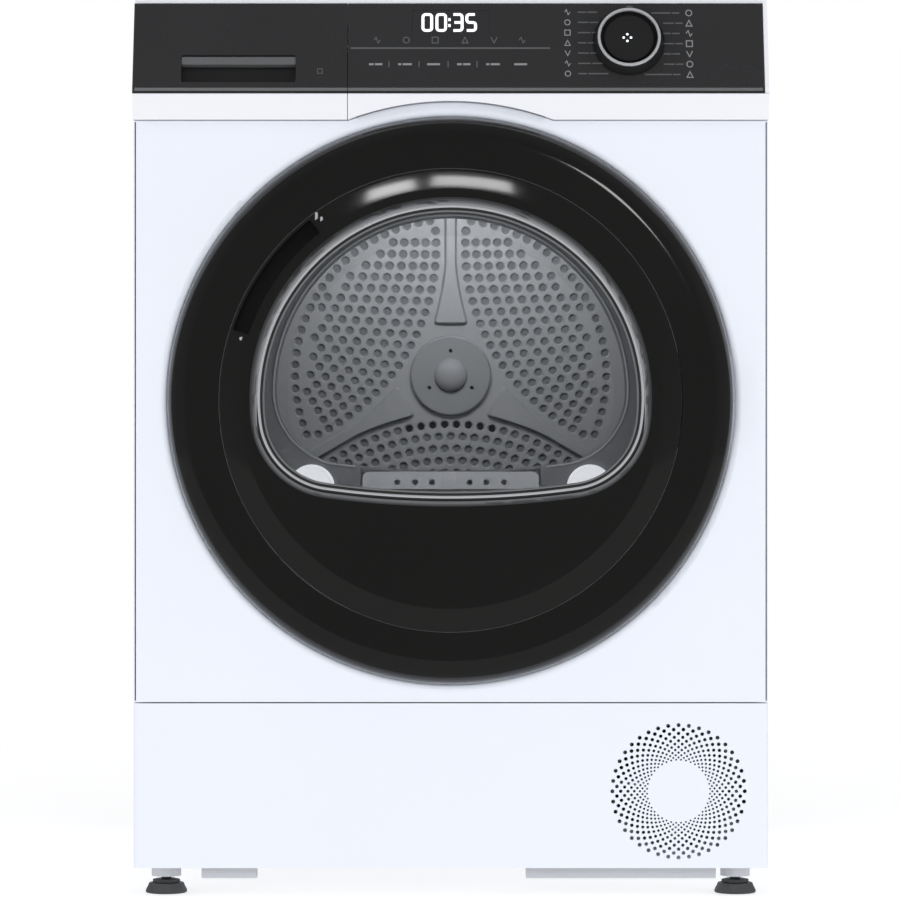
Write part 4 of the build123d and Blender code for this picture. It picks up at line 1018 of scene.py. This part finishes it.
def make_feet():
    """Adjustable feet: a turned pad, a chamfered hexagon collar and a threaded stud."""
    pad = [(0.5, 0.0), (18.6, 0.0), (19.6, 0.7), (19.7, 1.8), (18.9, 4.0), (17.4, 6.6), (16.7, 8.8),
           (16.0, 9.4)]
    hexagon = [(11.4, 9.4), (12.9, 9.9), (12.9, 12.5), (11.4, 13.0)]
    thread = []
    for turn in range(18):
        z = 13.0 + 2.0 * turn
        thread += [(4.3, z), (5.0, z + 0.9), (5.0, z + 1.1)]
    for name in [name for name in nodes if name.startswith("foot_")]:
        low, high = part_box(name)
        end, side = name.split("_")[1:]
        shape = Shape()
        for profile, steps in ((pad, 96), (hexagon, 6), (thread, 32)):
            shape.skin(lathe(profile, steps), caps=(True, True))
        shape.move(Matrix.Translation(((low.x + high.x) / 2 / MM, (low.y + high.y) / 2 / MM, 0)))
        piece(f"{name}_turned", shape, f"{end}_{side}_foot", "foot_black", [name], sharp=30)


for make in (
    make_door_ring, make_door_middle, make_window_rim, make_window_bowl, make_drum_wall, make_drum_shell,
    make_lifters, make_hub, make_plates, make_display_glass, make_drawer_bar, make_knob, make_digits,
    make_print, make_grip_glints, make_round_covers, make_throat_bead, make_feet,
):
    make()


# ---- stage ----
FLOOR = 2.4              # half the width of the floor
AMBIENT = 0.72           # brightness of the studio for soft light
MIRROR_DARK = 0.1        # its brightness in mirrors, in a patch in front of the machine
MIRROR_LIGHT = 0.2       # and elsewhere
MIRROR_FLOOR = 0.32
STUDIO_TINT = (0.97, 0.98, 1.0, 1)
WHITE = (1, 1, 1, 1)
PATCH_HEIGHT = 0.25      # the dark patch's middle, as a direction's upward share
PATCH_SQUEEZE = (1.2, 1.3)
PATCH_EDGE = (0.5, 1.1)


def floor_material():
    """Pale floor that fades to white away from the machine, and that mirrors see darker."""
    material = bpy.data.materials.new("studio_floor")
    tree = blank_tree(material)
    place = add(tree, "TexCoord").outputs["Object"]
    reach = add(tree, "VectorMath", {0: place}, operation="LENGTH").outputs["Value"]
    far = add(tree, "MapRange", {"Value": reach, "From Min": 0.9, "From Max": 1.8})
    near = add(
        tree, "BsdfPrincipled",
        {"Base Color": (0.6, 0.6, 0.6, 1), "Roughness": 0.6, "Emission Color": WHITE,
         "Emission Strength": 0.6},
    )
    glow = add(tree, "Emission", {"Color": WHITE, "Strength": 1.0})
    seen = add(tree, "MixShader", {0: far, 1: near, 2: glow})
    dim = add(tree, "Emission", {"Color": WHITE, "Strength": MIRROR_FLOOR})
    mirrored = add(tree, "LightPath").outputs["Is Glossy Ray"]
    surface = add(tree, "MixShader", {0: mirrored, 1: seen, 2: dim})
    add(tree, "OutputMaterial", {"Surface": surface})
    return material


def make_floor():
    mesh = bpy.data.meshes.new("floor")
    corners = raised(rectangle((-FLOOR, FLOOR), (-FLOOR, FLOOR)), 0)[0]
    mesh.from_pydata(corners, [], [(0, 1, 2, 3)])
    floor = bpy.data.objects.new("floor", mesh)
    mesh.materials.append(floor_material())
    bpy.context.scene.collection.objects.link(floor)


def make_world():
    """White studio that mirrors see darker, with a dark patch in front of the machine."""
    world = bpy.data.worlds.new("studio")
    bpy.context.scene.world = world
    tree = blank_tree(world)
    ray = add(tree, "TexCoord").outputs["Generated"]
    parts = add(tree, "SeparateXYZ", {0: ray}).outputs
    wide = add(tree, "Math", {0: parts[0], 1: PATCH_SQUEEZE[0]}, operation="MULTIPLY")
    above = add(tree, "Math", {0: parts[2], 1: PATCH_HEIGHT}, operation="SUBTRACT")
    tall = add(tree, "Math", {0: above, 1: PATCH_SQUEEZE[1]}, operation="MULTIPLY")
    offset = add(tree, "CombineXYZ", {0: wide, 2: tall})
    away = add(tree, "VectorMath", {0: offset}, operation="LENGTH").outputs["Value"]
    behind = add(tree, "Math", {0: parts[1], 1: 0.0}, operation="GREATER_THAN")
    edge = add(tree, "Math", {0: away, 1: behind}, operation="MAXIMUM")
    level = add(
        tree, "MapRange",
        {"Value": edge, "From Min": PATCH_EDGE[0], "From Max": PATCH_EDGE[1], "To Min": MIRROR_DARK,
         "To Max": MIRROR_LIGHT},
        interpolation_type="SMOOTHSTEP",
    )
    rays = add(tree, "LightPath").outputs
    soft = add(tree, "Background", {"Color": STUDIO_TINT, "Strength": AMBIENT})
    mirrored = add(tree, "Background", {"Color": STUDIO_TINT, "Strength": level})
    backdrop = add(tree, "Background", {"Color": WHITE, "Strength": 1.0})
    lit = add(tree, "MixShader", {0: rays["Is Glossy Ray"], 1: soft, 2: mirrored})
    both = add(tree, "MixShader", {0: rays["Is Camera Ray"], 1: lit, 2: backdrop})
    add(tree, "OutputWorld", {"Surface": both})


def make_light(name, place, aim, size, power, only="", roll=0.0):
    """Rectangular softbox that faces a point; roll turns it about its own axis, in degrees.

    With a piece's name in only, it lights that piece alone and shows in its gloss.
    """
    light = bpy.data.lights.new(name, "AREA")
    light.shape = "RECTANGLE"
    light.size, light.size_y = size
    light.energy = power
    lamp = bpy.data.objects.new(name, light)
    lamp.location = place
    facing = (Vector(aim) - Vector(place)).to_track_quat("-Z", "Y")
    lamp.rotation_euler = (facing.to_matrix() @ Matrix.Rotation(radians(roll), 3, "Z")).to_euler()
    lamp.visible_glossy = bool(only)
    if only:
        lit = bpy.data.collections.new(f"{name}_pieces")
        lit.objects.link(bpy.data.objects[only])
        lamp.light_linking.receiver_collection = lit
    bpy.context.scene.collection.objects.link(lamp)


def make_camera():
    """Camera square to the front, at the middle of its height."""
    camera = bpy.data.objects.new("camera", bpy.data.cameras.new("camera"))
    away = 3.5
    frame_width = 0.8433
    camera.data.sensor_width = 36.0
    camera.data.lens = 36.0 * away / frame_width
    camera.location = (-0.0007, FRONT * MM - away, 0.4198)
    camera.rotation_euler = (pi / 2, 0, 0)
    bpy.context.scene.collection.objects.link(camera)
    bpy.context.scene.camera = camera


def make_lights():
    """Soft light all round, and narrow strips that only the door's gloss mirrors."""
    machine = (0, -0.2, 0.4)
    tall = (0.8, 1.6)
    make_light("overhead_fill", (0, -1.6, 2.6), machine, (2.4, 1.2), 4)
    make_light("left_fill", (-2.4, -1.4, 0.8), machine, tall, 7.5)
    make_light("right_fill", (2.4, -1.4, 0.8), machine, tall, 9.5)
    make_light("front_fill", (0, -3.6, 1.2), (0, 0, 0.45), (2.0, 1.0), 13)
    for side, place, aim, length, power, roll in (
        ("left", (-0.363, -1.8, 1.766), (-0.06, -0.3, 0.65), 0.294, 3.0, 15.8),
        ("right", (0.1305, -1.8, 1.8145), (0.03, -0.3, 0.66), 0.49, 4.0, -5.3),
    ):
        make_light(f"bevel_strip_{side}", place, aim, (length, 0.17), power, "door_middle_gloss", roll)
    make_light("ring_strip", (0.56, -2.5, 1.2), (0.17, -0.3, 0.63), (0.26, 0.42), 4.4, "door_ring_gloss")
    make_light("drum_lamp", (0, (DRUM_FRONT + 130) * MM, 0.74), (0, DRUM_BACK * MM, 0.62), (0.3, 0.08), 2.4)


def brighten_recess():
    """Keep the door's ring from shading the dished recess behind it."""
    ring = bpy.data.objects["door_ring_gloss"]
    ring.visible_shadow = False
    ring.visible_diffuse = False


bpy.context.scene.view_settings.view_transform = "Standard"
make_floor()
make_world()
make_camera()
make_lights()
brighten_recess()
